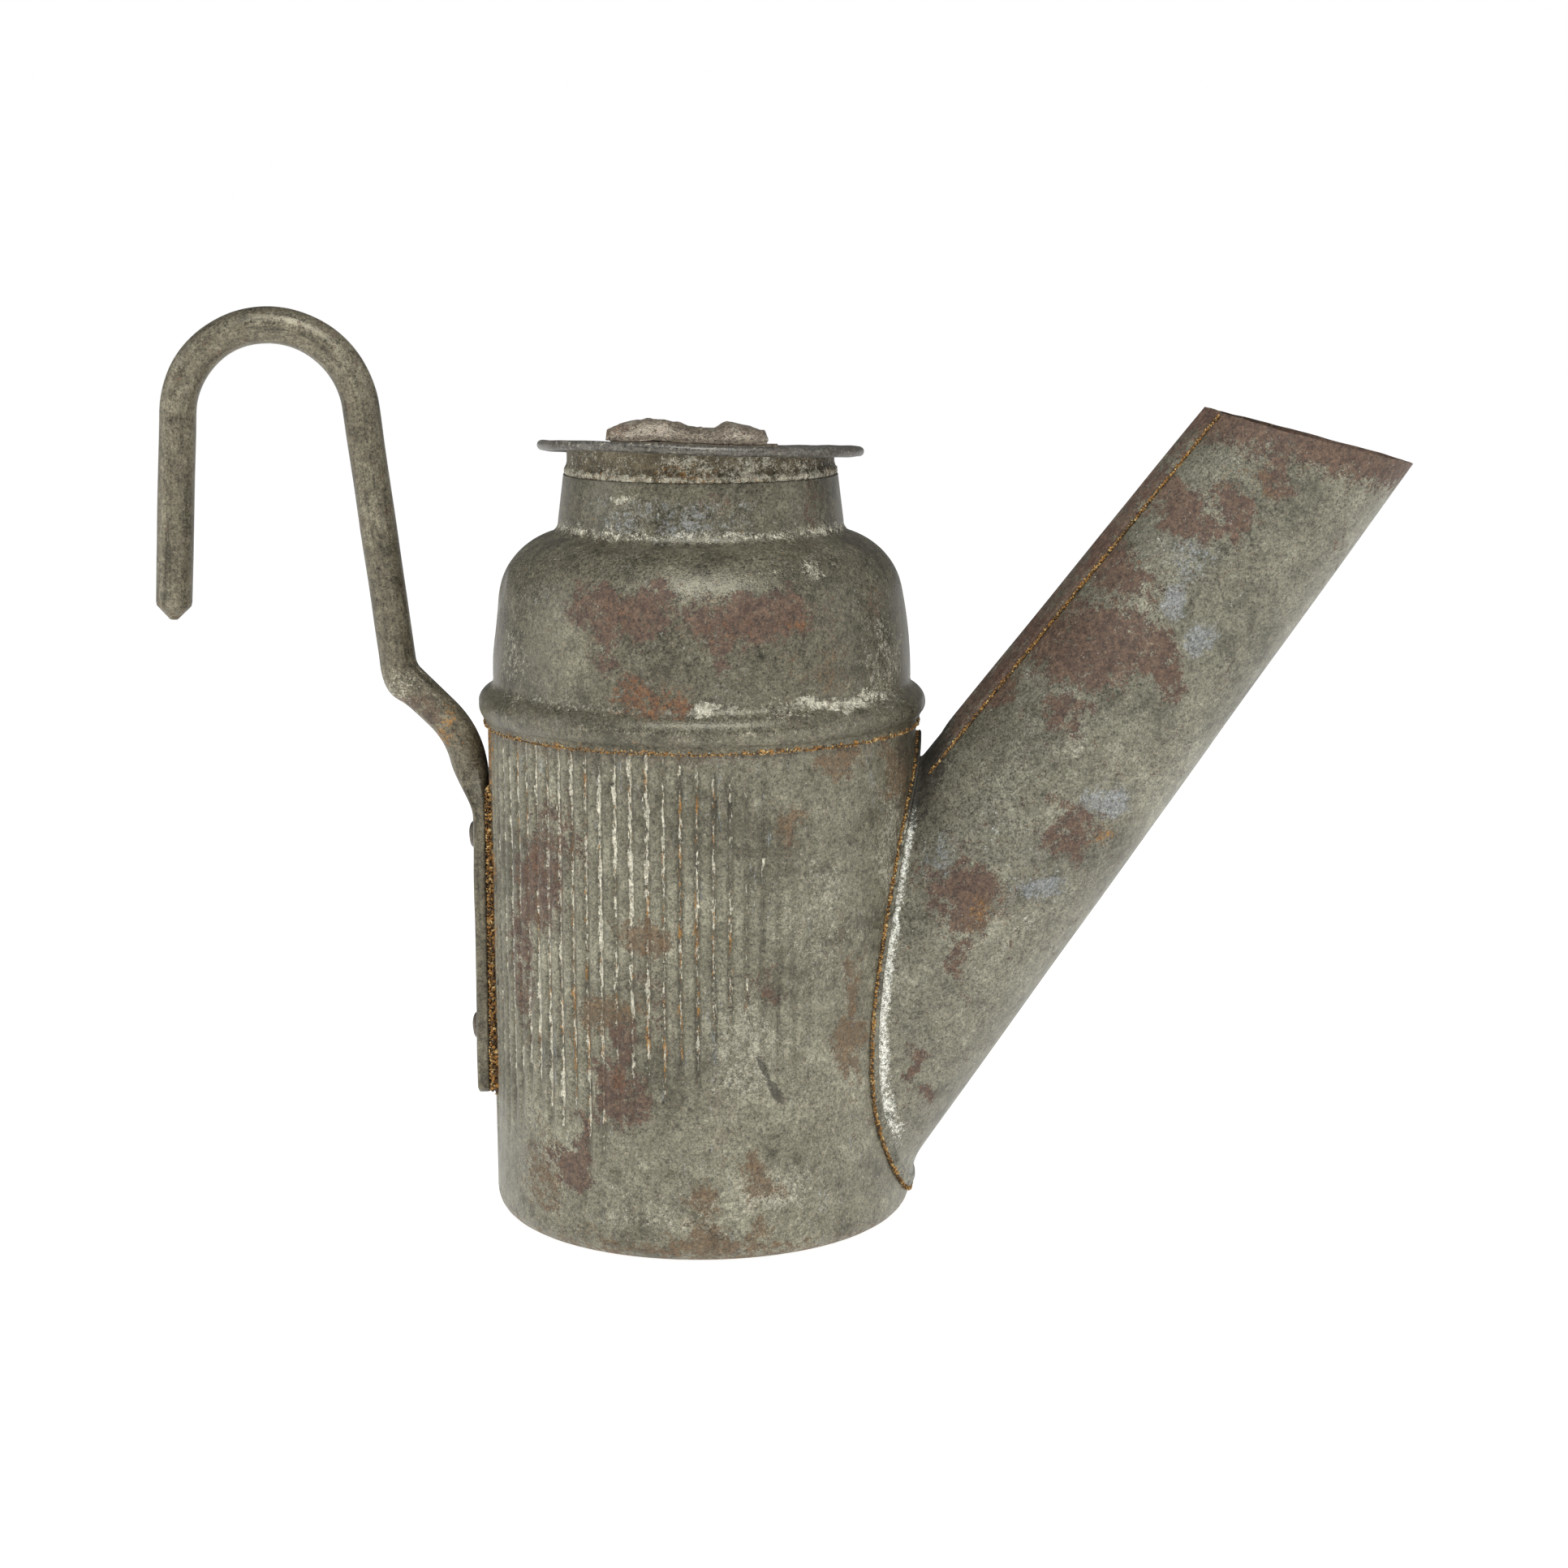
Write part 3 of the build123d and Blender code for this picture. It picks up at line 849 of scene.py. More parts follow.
# ---------------------------------------------------------------- cup
@dataclass
class Cup:
    """The drawn cup that holds the oil, with flutes pressed into its wall."""

    foot_radius: float = 0.0278
    top_radius: float = 0.0282
    corner: float = 0.003
    height: float = 0.07
    sheet: float = 0.0004
    flutes_per_turn: int = 84
    flute_depth: float = 0.00042
    columns_per_flute: int = 8
    flute_top: float = 0.0680
    flute_bottom: float = 0.010
    flute_runout: float = 0.013
    flute_end: float = radians(140)
    flute_seed: int = 7
    finish: Finish = field(default_factory=lambda: CUP_FINISH)

    def radius_at(self, height: Grid) -> Grid:
        """Give the wall's outside radius at a height above the corner."""
        share = (height - self.corner) / (self.height - self.corner)
        return self.foot_radius + share * (self.top_radius - self.foot_radius)

    def clearance(self, points: Grid) -> Grid:
        """Measure how far points stand outside the cup's wall and corner.

        Args:
            points: the points, in their last axis.

        Returns:
            The distances, below 0 inside.
        """
        radius = np.hypot(points[..., 0], points[..., 1])
        height = np.maximum(points[..., 2], self.sheet)
        wall = radius - self.radius_at(height)
        outwards = np.maximum(radius - (self.foot_radius - self.corner), 0)
        rounded = np.hypot(outwards, height - self.corner) - self.corner
        return np.where(height < self.corner, rounded, wall)

    def outline(self) -> np.ndarray:
        """Draw the cup's section, from the middle of its floor outside to the middle inside."""
        flat = self.foot_radius - self.corner
        rows = 44
        outside = Outline((0.0008, 0.0), (1, 0)).line_to((flat, 0.0), 7).arc_to((self.foot_radius, self.corner), 7)
        outside.line_to((self.top_radius, self.height), rows)
        inside = Outline((0.0008, self.sheet), (1, 0)).line_to((flat, self.sheet), 7)
        inside.arc_to((self.foot_radius - self.sheet, self.corner), 7)
        inside.line_to((self.top_radius - self.sheet, self.height), rows)
        return np.concatenate((outside.array(), inside.array()[::-1]))

    def flute_tree(self) -> bpy.types.NodeTree:
        """Build geometry nodes that press flutes into a turned wall about the Z axis."""
        names = ("Flutes Per Turn", "Depth", "Flute Top", "Flute Bottom", "Runout", "End Angle")
        sockets = {"Geometry": Socket.GEOMETRY, **{name: Socket.NUMBER for name in names}}
        sockets |= {"Seed": Socket.WHOLE, "Material": Socket.MATERIAL}
        graph, given, result = new_tree("pressed_flutes", "GeometryNodeTree", sockets, ("Geometry", Socket.GEOMETRY))
        place = graph.node("GeometryNodeInputPosition").outputs[0]
        apart = graph.node("ShaderNodeSeparateXYZ", {0: place})
        x, y, z = (apart.outputs[key] for key in "XYZ")
        around = graph.math("ARCTAN2", y, graph.math("MULTIPLY", x, -1.0))
        away = graph.math("ABSOLUTE", around)
        cycle = graph.math("COSINE", graph.math("MULTIPLY", around, given["Flutes Per Turn"]))
        groove = graph.math("POWER", graph.math("MULTIPLY_ADD", cycle, 0.5, 0.5), 1.7)
        top = graph.fade(away, radians(80), given["End Angle"], given["Flute Top"], 0.054)
        bottom = graph.fade(away, radians(50), given["End Angle"], given["Flute Bottom"], 0.024)
        per_radian = graph.math("DIVIDE", given["Flutes Per Turn"], 2 * pi)
        number = graph.math("ROUND", graph.math("MULTIPLY", around, per_radian))
        uneven = graph.node("FunctionNodeRandomValue", {"Seed": given["Seed"], "ID": number}, data_type="FLOAT")
        uneven.inputs[2].default_value = -0.006
        uneven.inputs[3].default_value = 0.004
        bottom = graph.math("ADD", bottom, uneven.outputs[1])
        upwards = graph.fade(z, bottom, graph.math("ADD", bottom, given["Runout"]))
        under_skirt = graph.fade(z, graph.math("SUBTRACT", top, 0.003), top, 1.0, 0.0)
        fade_start = graph.math("SUBTRACT", given["End Angle"], radians(48))
        inwards = graph.fade(away, fade_start, given["End Angle"], 1.0, 0.0)
        share = graph.math("MULTIPLY", graph.math("MULTIPLY", upwards, under_skirt), inwards)
        groove = graph.math("MULTIPLY", groove, share)
        spoke = graph.vector("NORMALIZE", graph.vector("MULTIPLY", place, (1.0, 1.0, 0.0)))
        press = graph.math("MULTIPLY", graph.math("MULTIPLY", groove, given["Depth"]), -1.0)
        weight = graph.fade(away, radians(60), radians(125), 1.0, 0.72)
        lime_line = graph.math("MULTIPLY", graph.math("POWER", groove, 1.6), weight)
        # groove also leads the finish's painted shade in the flute valleys
        marked = graph.store(graph.store(given["Geometry"], "groove", groove), "lime_line", lime_line)
        inputs = {"Geometry": marked, "Offset": graph.scaled(spoke, press)}
        graph.end(result, graph.node("GeometryNodeSetPosition", inputs).outputs[0], given["Material"])
        return graph.tree

    def build(self, effects: Effects, bore: bpy.types.Object) -> bpy.types.Object:
        """Build the cup, press its flutes and open it to the spout.

        Args:
            effects: the shared groups.
            bore: the solid that is cut out for the spout, which is removed afterwards.

        Returns:
            The cup.
        """
        grid = lathe(self.outline(), self.flutes_per_turn * self.columns_per_flute)
        radius = np.hypot(grid[..., 0], grid[..., 1])
        foot = (1 - ease(0.0002, 0.0040, grid[..., 2])) * ease(0.020, 0.0255, radius)
        # under_skirt rises to 1 at the skirt's edge, where the finish paints the shadow under the skirt's overhang,
        # mixed with a brown rust wash
        top_edge = ease(0.0622, 0.0660, grid[..., 2])
        strip_side = (1 - ease(-0.0276, -0.0262, grid[..., 0])) * ease(0.014, 0.018, grid[..., 2])
        piece = skin("cup", grid, False, {"foot": foot, "under_skirt": top_edge, "strip_side": strip_side})
        finish = self.finish.build(effects)
        values = {
            "Flutes Per Turn": float(self.flutes_per_turn),
            "Depth": self.flute_depth,
            "Flute Top": self.flute_top,
            "Flute Bottom": self.flute_bottom,
            "Runout": self.flute_runout,
            "End Angle": self.flute_end,
            "Seed": self.flute_seed,
            "Material": finish,
        }
        run_tree(piece, self.flute_tree(), values)
        moved = knock_about(self.points_of(piece))
        piece.data.vertices.foreach_set("co", moved.astype(np.float32).ravel())
        cut = piece.modifiers.new("spout_opening", "BOOLEAN")
        cut.operation = "DIFFERENCE"
        cut.solver = "EXACT"
        cut.object = bore
        keep_result(piece)
        bpy.data.objects.remove(bore)
        settle(piece, "can", "font_body", finish)
        return piece

    @staticmethod
    def points_of(piece: bpy.types.Object) -> np.ndarray:
        """Read a piece's points, one to a row."""
        points = np.zeros(len(piece.data.vertices) * 3, np.float32)
        piece.data.vertices.foreach_get("co", points)
        return points.reshape(-1, 3).astype(float)


# ---------------------------------------------------------------- shoulder
@dataclass
class Shoulder:
    """The skirt, bead, dome and neck, drawn from one sheet."""

    sheet: float = 0.0004
    skirt_edge: float = 0.066
    skirt_radius: float = 0.028626
    bead_top: tuple[float, float] = (0.02938, 0.0683)
    crease: tuple[float, float] = (0.02738, 0.0712)
    crease_round: float = 0.0008
    dome_side: tuple[float, float] = (0.026186, 0.0835)
    dome_top: tuple[float, float] = (0.0198, 0.0905)
    neck_root: tuple[float, float] = (0.0186, 0.0922)
    neck_rim: tuple[float, float] = (0.01785, 0.0982)
    columns: int = 240
    dents: tuple[tuple[Point, float, float], ...] = (  # centre, reach and depth
        ((-0.0265, -0.003, 0.0788), 0.0042, 0.0006),
        ((-0.0260, -0.005, 0.0835), 0.0035, 0.0004),
        ((-0.0288, -0.003, 0.0665), 0.003, 0.0005),
        ((0.0285, -0.004, 0.0672), 0.0025, 0.00045),
        ((0.012, -0.024, 0.0800), 0.008, 0.0002),
    )
    finish: Finish = field(default_factory=lambda: SHOULDER_FINISH)

    def build(self, effects: Effects) -> bpy.types.Object:
        """Turn the section, dent it and dress it.

        Args:
            effects: the shared groups.

        Returns:
            The shoulder.
        """
        line = Outline((self.skirt_radius, self.skirt_edge)).line_to((self.skirt_radius, self.skirt_edge + 0.0008), 2)
        bead_end = (self.crease[0] + self.crease_round, self.crease[1] - self.crease_round)
        line.arc_through(self.bead_top, bead_end, 14)
        line.arc_to((self.crease[0], self.crease[1] + self.crease_round), 7)
        line.heading = np.array((0.0, 1.0))
        line.arc_to(self.dome_side, 14).arc_to(self.dome_top, 16).arc_to(self.neck_root, 7).line_to(self.neck_rim, 6)
        grid = knock_about(lathe(line.walled(self.sheet), self.columns))
        for centre, reach, depth in self.dents:
            grid = dent(grid, centre, reach, depth)
        radius, height = np.hypot(grid[..., 0], grid[..., 1]), grid[..., 2]
        values = {
            "crease": np.exp(-((height - self.crease[1]) / 0.0009) ** 2),
            "neck_crease": np.exp(-(np.hypot(radius - 0.0187, height - 0.0917) / 0.0008) ** 2),
            # bead: a thin line along the bead's crest, where the finish paints a highlight
            "bead": np.exp(-((height - self.bead_top[1] - 0.0003) / 0.0007) ** 2),
            "skirt": 1 - ease(0.0660, 0.0674, height),
            "rim": ease(0.0970, 0.0982, height),
        }
        piece = skin("shoulder_shell", grid, True, values)
        settle(piece, "can", "shoulder", self.finish.build(effects))
        return piece

    @staticmethod
    def ring(radius: float, height: float) -> np.ndarray:
        """Draw a ring round the Z axis."""
        angle = np.linspace(0, 2 * pi, 181)
        return np.stack((radius * np.cos(angle), radius * np.sin(angle), height + 0 * angle), axis=1)


# ---------------------------------------------------------------- spout
@dataclass
class Spout:
    """The wide tapering spout, its folded seam and the saddle that lies on the cup.

    A point is placed by its angle round the spout's axis, from the upper line towards the front, by its
    distance along the axis from the cup's wall, and by its distance from the axis.
    """

    cup: Cup
    slope: float = radians(53.5)
    root_height: float = 0.0338
    root_radius: float = 0.01587
    taper: float = radians(2.02)
    length: float = 0.0861
    mouth_slope: float = radians(14.6)
    sheet: float = 0.0004
    film: float = 0.00003
    flange: float = 0.00045
    flare: float = 0.0024
    seam_first: float = radians(3)
    seam_last: float = radians(22.5)
    seam_height: float = 0.0006
    finish: Finish = field(default_factory=lambda: SPOUT_FINISH)

    def __post_init__(self) -> None:
        """Work out the axis, its upper side and the columns' angles."""
        self.axis = np.array((cos(self.slope), 0, sin(self.slope)))
        self.upper = np.array((-sin(self.slope), 0, cos(self.slope)))
        self.root = np.array((float(self.cup.radius_at(self.root_height)), 0, self.root_height))
        even = np.linspace(0, 2 * pi, 300, endpoint=False)
        fine = np.radians(np.arange(20.0, 26.0, 0.4))
        self.angles = np.unique(np.concatenate((even, fine)))

    def radius_at(self, along: Grid) -> Grid:
        """Give the tube's outside radius at a distance along its axis."""
        return self.root_radius - along * tan(self.taper)

    def place(self, angle: Grid, along: Grid, out: Grid) -> Grid:
        """Place points by angle, distance along the axis and distance from it."""
        side = np.array((0.0, -1.0, 0.0))
        spoke = np.cos(angle)[..., None] * self.upper + np.sin(angle)[..., None] * side
        return self.root + along[..., None] * self.axis + out[..., None] * spoke

    def meet(self, extra: Grid, offset: float) -> Grid:
        """Find where a cone this much wider than the tube meets the cup, stood off by an offset.

        Args:
            extra: how much wider the cone is, at each angle.
            offset: how far off the cup's wall.

        Returns:
            The distance along the axis at each angle.
        """
        low, high = np.full(len(self.angles), -0.045), np.full(len(self.angles), 0.06)
        for _ in range(40):
            middle = (low + high) / 2
            points = self.place(self.angles, middle, self.radius_at(middle) + extra)
            inside = self.cup.clearance(points) < offset
            low, high = np.where(inside, middle, low), np.where(inside, high, middle)
        return high

    def mouth(self, out: Grid) -> Grid:
        """Find where the tube's lines reach the slanted mouth, which is a little worn."""
        level = np.array((sin(self.mouth_slope), 0, cos(self.mouth_slope)))
        spoke = self.place(self.angles, 0 * self.angles, 0 * self.angles + 1) - self.root
        middle = self.axis * self.length
        reach = (middle @ level - out * (spoke @ level)) / (self.axis @ level - tan(self.taper) * (spoke @ level))
        wear = [noise.noise(Vector((4 * cos(a), 4 * sin(a), 0))) * 0.00016 for a in self.angles]
        return reach + np.array(wear)

    def margin(self) -> Grid:
        """Give the flange's width round the tube, widest at the valley and wide again at the foot."""
        away = np.minimum(self.angles, 2 * pi - self.angles)
        peak = 0.0016 * np.exp(-(away / radians(14)) ** 2)
        shoulder = 0.00045 * np.exp(-((away - radians(40)) / radians(18)) ** 2)
        return 0.00105 + peak + shoulder + 0.0008 * ease(radians(125), radians(165), away)

    def seam(self, along: Grid) -> Grid:
        """Give how far the folded seam stands proud at each angle."""
        rise = ease(self.seam_first - radians(2), self.seam_first + radians(2), self.angles)
        drop = 1 - ease(self.seam_last - radians(1.1), self.seam_last + radians(0.3), self.angles)
        slit = np.exp(-((self.angles - self.seam_last - radians(1.2)) / radians(0.8)) ** 2)
        fade = ease(0.0, 0.006, along - self.flare_start)
        return (self.seam_height * rise * drop - 0.00012 * slit) * fade

    def build(self, effects: Effects) -> bpy.types.Object:
        """Build the tube, its flare and its flange as one closed sheet.

        Args:
            effects: the shared groups.

        Returns:
            The spout.
        """
        zero = 0 * self.angles
        margin = self.margin()
        away = np.minimum(self.angles, 2 * pi - self.angles)
        corner = self.meet(zero, self.flange)
        self.flare_start = corner + self.flare * (1 - 0.35 * np.exp(-(away / radians(25)) ** 2))
        rows: list[Grid] = []
        marks: dict[str, list[Grid]] = {name: [] for name in ("mouth", "slit", "fold", "flare", "edge", "valley")}

        def add(along: Grid, out: Grid, flare: float = 0.0, edge: float = 0.0, outside: bool = True) -> None:
            """Add a row of points and what the finish reads there."""
            rows.append(self.place(self.angles, along, out))
            slit = np.exp(-((self.angles - self.seam_last - radians(1.5)) / radians(2.2)) ** 2)
            marks["mouth"].append(1 - ease(0.0, 0.0065, tip - along))
            past_flare = outside * ease(0, 0.003, along - self.flare_start)
            marks["slit"].append(slit * past_flare)
            fold = (self.angles > self.seam_first - radians(4)) & (self.angles < self.seam_last)
            marks["fold"].append(fold * past_flare)
            # the flare mark: the concave flare's sides, where the finish paints a highlight over shiny solder
            sides = ease(radians(18), radians(40), away) * (1 - ease(radians(120), radians(150), away))
            marks["flare"].append(zero + flare * sides)
            marks["edge"].append(zero + edge)
            # the valley mark: the hollow between the spout's upper side and the cup, where the finish paints shade
            near_root = np.exp(-((along - self.flare_start) / 0.008) ** 2)
            marks["valley"].append(np.exp(-(away / radians(48)) ** 2) * near_root * outside)

        tip = self.mouth(self.root_radius + zero)
        tube_rows = 84
        for share in np.linspace(1, 0, tube_rows):
            along = self.flare_start + (tip - self.flare_start) * share
            add(along, self.radius_at(along) + self.seam(along))
        out_start, out_corner = self.radius_at(self.flare_start), self.radius_at(corner)
        landing = self.meet(0.5 * margin, self.flange)
        out_landing = self.radius_at(landing) + 0.5 * margin
        for share in np.linspace(0, 1, 11)[1:]:
            near, middle, far = (1 - share) ** 2, 2 * share * (1 - share), share**2
            along = near * self.flare_start + middle * corner + far * landing
            add(along, near * out_start + middle * out_corner + far * out_landing, flare=sin(pi * share) ** 0.5)
        rolled_edge = ((0.62, 0.00056), (0.76, 0.00074), (0.9, 0.00074), (1.0, 0.00056), (1.03, 0.0003), (1.0, 0.0001))
        for width, offset in rolled_edge:
            along = self.meet(width * margin, offset)
            add(along, self.radius_at(along) + width * margin, edge=1.0)
        for width in (0.5, 0.0):
            along = self.meet(width * margin, self.film)
            add(along, self.radius_at(along) + width * margin, outside=False)
        inner = self.meet(zero - self.sheet, self.film)
        inner_tip = self.mouth(self.root_radius - self.sheet + zero)
        for share in np.linspace(0, 1, 30):
            along = inner + (inner_tip - inner) * share
            add(along, self.radius_at(along) - self.sheet, outside=False)
        grid = knock_about(np.array(rows))
        piece = skin("spout_tube", grid, True, {key: np.array(value) for key, value in marks.items()})
        settle(piece, "can", "spout", self.finish.build(effects))
        self.edge_line = self.line_at(self.meet(1.02 * margin, 0.0002), 1.02 * margin)
        self.seam_line = self.slit_line(tip)
        return piece

    def line_at(self, along: Grid, extra: Grid) -> np.ndarray:
        """Draw a closed line round the saddle."""
        points = self.place(self.angles, along, self.radius_at(along) + extra)
        return np.concatenate((points, points[:1]))

    def slit_line(self, tip: Grid) -> np.ndarray:
        """Draw the line where the folded seam meets the tube."""
        angle = self.seam_last + radians(0.7)
        nearest = int(np.argmin(np.abs(self.angles - angle)))
        along = np.linspace(self.flare_start[nearest] + 0.001, tip[nearest] - 0.0005, 160)
        return self.place(angle + 0 * along, along, self.radius_at(along) + 0.00006)

    def bore(self) -> bpy.types.Object:
        """Build the solid that opens the cup's wall to the spout."""
        along = np.array((-0.024, -0.012, 0.0, 0.02, 0.04))
        angle = np.linspace(0, 2 * pi, 96, endpoint=False)
        out = self.radius_at(along) - self.sheet - 0.00002
        grid = self.place(angle + 0 * along[:, None], along[:, None] + 0 * angle, out[:, None] + 0 * angle)
        return skin("bore_tool", grid, False)


# ---------------------------------------------------------------- hook
@dataclass
class Hook:
    """The round rod bent into a hook, its flattened strip and the two rivets."""

    rod: float = 0.00238
    arch_radius: float = 0.0119
    arch_centre: tuple[float, float] = (-0.055815, 0.1054)
    point_arm: float = 0.0270
    point_lean: float = radians(3.2)
    rise_lean: float = radians(5.5)
    upper_bend: tuple[float, float] = (-0.0397, 0.0721)
    bend_radius: float = 0.0062
    rod_end: tuple[float, float] = (-0.030595, 0.0596)
    lower_bend_height: float = 0.063
    strip_centre: float = -0.029165
    strip_top: float = 0.0535
    strip_bottom: float = 0.0161
    strip_half_thickness: float = 0.00095
    strip_half_width: float = 0.00468
    rivet_head: float = 0.0018
    rivet_head_height: float = 0.00085
    rivet_shank: float = 0.0012
    rivet_tail: float = 0.00085
    cup_inside: float = -0.02752
    upper_rivet: float = 0.0504
    rivet_gap: float = 0.0261
    columns: int = 48
    finish: Finish = field(default_factory=lambda: HOOK_FINISH)
    rivet_finish: Finish = field(default_factory=lambda: RIVET_FINISH)

    def centre_line(self) -> np.ndarray:
        """Draw the rod's centre line from its point to the strip's end, in X and Z."""
        left, right = pi - self.point_lean, self.rise_lean
        centre, step = np.array(self.arch_centre), 0.0006
        arch_end = centre + self.arch_radius * np.array((cos(left), sin(left)))
        arch_start = centre + self.arch_radius * np.array((cos(right), sin(right)))
        point = arch_end + self.point_arm * np.array((-sin(self.point_lean), -cos(self.point_lean)))
        line = Outline(point).line_to(arch_end, round(self.point_arm / step)).arc_to(arch_start, 64)
        upper, lower = np.array(self.upper_bend), np.array((self.rod_end[0], self.lower_bend_height))
        line.round_corner(upper, lower, self.bend_radius * 0.75, step)
        line.round_corner(lower, np.array((self.rod_end[0], 0.04)), self.bend_radius * 2, step)
        line.line_to((self.rod_end[0], self.strip_bottom), 64)
        return line.array()

    def build(self, effects: Effects) -> bpy.types.Object:
        """Sweep the rod's section along its centre line, flattening it into the strip.

        Args:
            effects: the shared groups.

        Returns:
            The hook.
        """
        line = self.centre_line()
        flat = np.where(line[:, 0] > -0.0345, 1 - ease(self.strip_top, self.rod_end[1] + 0.001, line[:, 1]), 0.0)
        line[:, 0] += flat * (self.strip_centre - self.rod_end[0])
        left = left_of(line)
        along = np.concatenate(((0,), np.cumsum(np.linalg.norm(np.diff(line, axis=0), axis=1))))
        power = 2 / (2 + 4.5 * flat)
        tip = 0.22 + 0.78 * np.minimum(along / 0.0019, 1)
        end = 0.85 + 0.15 * np.minimum((along[-1] - along) / 0.0006, 1)
        thick = (self.rod + flat * (self.strip_half_thickness - self.rod)) * tip * end
        wide = (self.rod + flat * (self.strip_half_width - self.rod)) * tip * end
        angle = np.linspace(0, 2 * pi, self.columns, endpoint=False)
        across = thick[:, None] * self.rounded(np.cos(angle), power)
        sideways = wide[:, None] * self.rounded(np.sin(angle), power)
        bend = np.linalg.norm(line - np.array(self.upper_bend), axis=1).argmin()
        kink = np.exp(-((along - along[bend] - 0.0016) / 0.0017) ** 2)[:, None] * np.maximum(-np.cos(angle), 0) ** 2
        across = across - 0.0005 * kink
        grid = np.stack(
            (
                line[:, 0, None] + left[:, 0, None] * across,
                0 * across + sideways,
                line[:, 1, None] + left[:, 1, None] * across,
            ),
            axis=-1,
        )
        grid = grid + swells(grid, 0.006) * 0.00007
        stretched = np.stack((across, sideways, 0 * across + along[:, None] * 0.07), axis=-1)
        values = {
            "stretched": stretched,
            "tip": np.repeat(1 - ease(0.0, 0.0035, along)[:, None], self.columns, axis=1),
            "kink": np.repeat(np.exp(-((along - along[bend] - 0.002) / 0.0035) ** 2)[:, None], self.columns, axis=1),
        }
        piece = skin("hook_rod", grid, False, values)
        settle(piece, "can", "hook", self.finish.build(effects))
        return piece

    @staticmethod
    def rounded(wave: Grid, power: Grid) -> Grid:
        """Square off a circle's wave where the power is below 1."""
        return np.sign(wave) * np.abs(wave) ** power[:, None]

    def build_rivets(self, effects: Effects) -> bpy.types.Object:
        """Make one rivet and repeat it down the strip with geometry nodes.

        Args:
            effects: the shared groups.

        Returns:
            The rivets.
        """
        face = self.strip_centre - self.strip_half_thickness
        head, shank, inner = self.rivet_head, self.rivet_shank, self.cup_inside
        outline = Outline((0.0001, face - self.rivet_head_height), (1, 0))
        outline.arc_to((head * 0.72, face - self.rivet_head_height * 0.8), 5)
        outline.arc_to((head, face - 0.0001), 5).line_to((head * 0.97, face + 0.00002), 1)
        outline.line_to((shank, face + 0.00003), 2).line_to((shank, inner), 2).line_to((head, inner), 2)
        outline.line_to((head, inner + self.rivet_tail), 2).line_to((0.0001, inner + self.rivet_tail), 2)
        turned = lathe(outline.array(), 28)
        grid = np.stack((turned[..., 2], turned[..., 0], turned[..., 1] + self.upper_rivet), axis=-1)
        grid = grid + swells(grid, 0.0016) * 0.00008 * (grid[..., :1] < face)
        piece = skin("rivets", grid, False)
        sockets = {
            "Geometry": Socket.GEOMETRY,
            "Count": Socket.WHOLE,
            "Step": Socket.VECTOR,
            "Material": Socket.MATERIAL,
        }
        graph, given, result = new_tree("rivet_row", "GeometryNodeTree", sockets, ("Geometry", Socket.GEOMETRY))
        inputs = {"Count": given["Count"], "Offset": given["Step"]}
        points = graph.node("GeometryNodeMeshLine", inputs).outputs[0]
        inputs = {"Points": points, "Instance": given["Geometry"]}
        graph.end(result, graph.node("GeometryNodeInstanceOnPoints", inputs).outputs[0], given["Material"])
        finish = self.rivet_finish.build(effects)
        run_tree(piece, graph.tree, {"Count": 2, "Step": (0.0, 0.0, -self.rivet_gap), "Material": finish})
        settle(piece, "can", "hook_rivets", finish)
        return piece


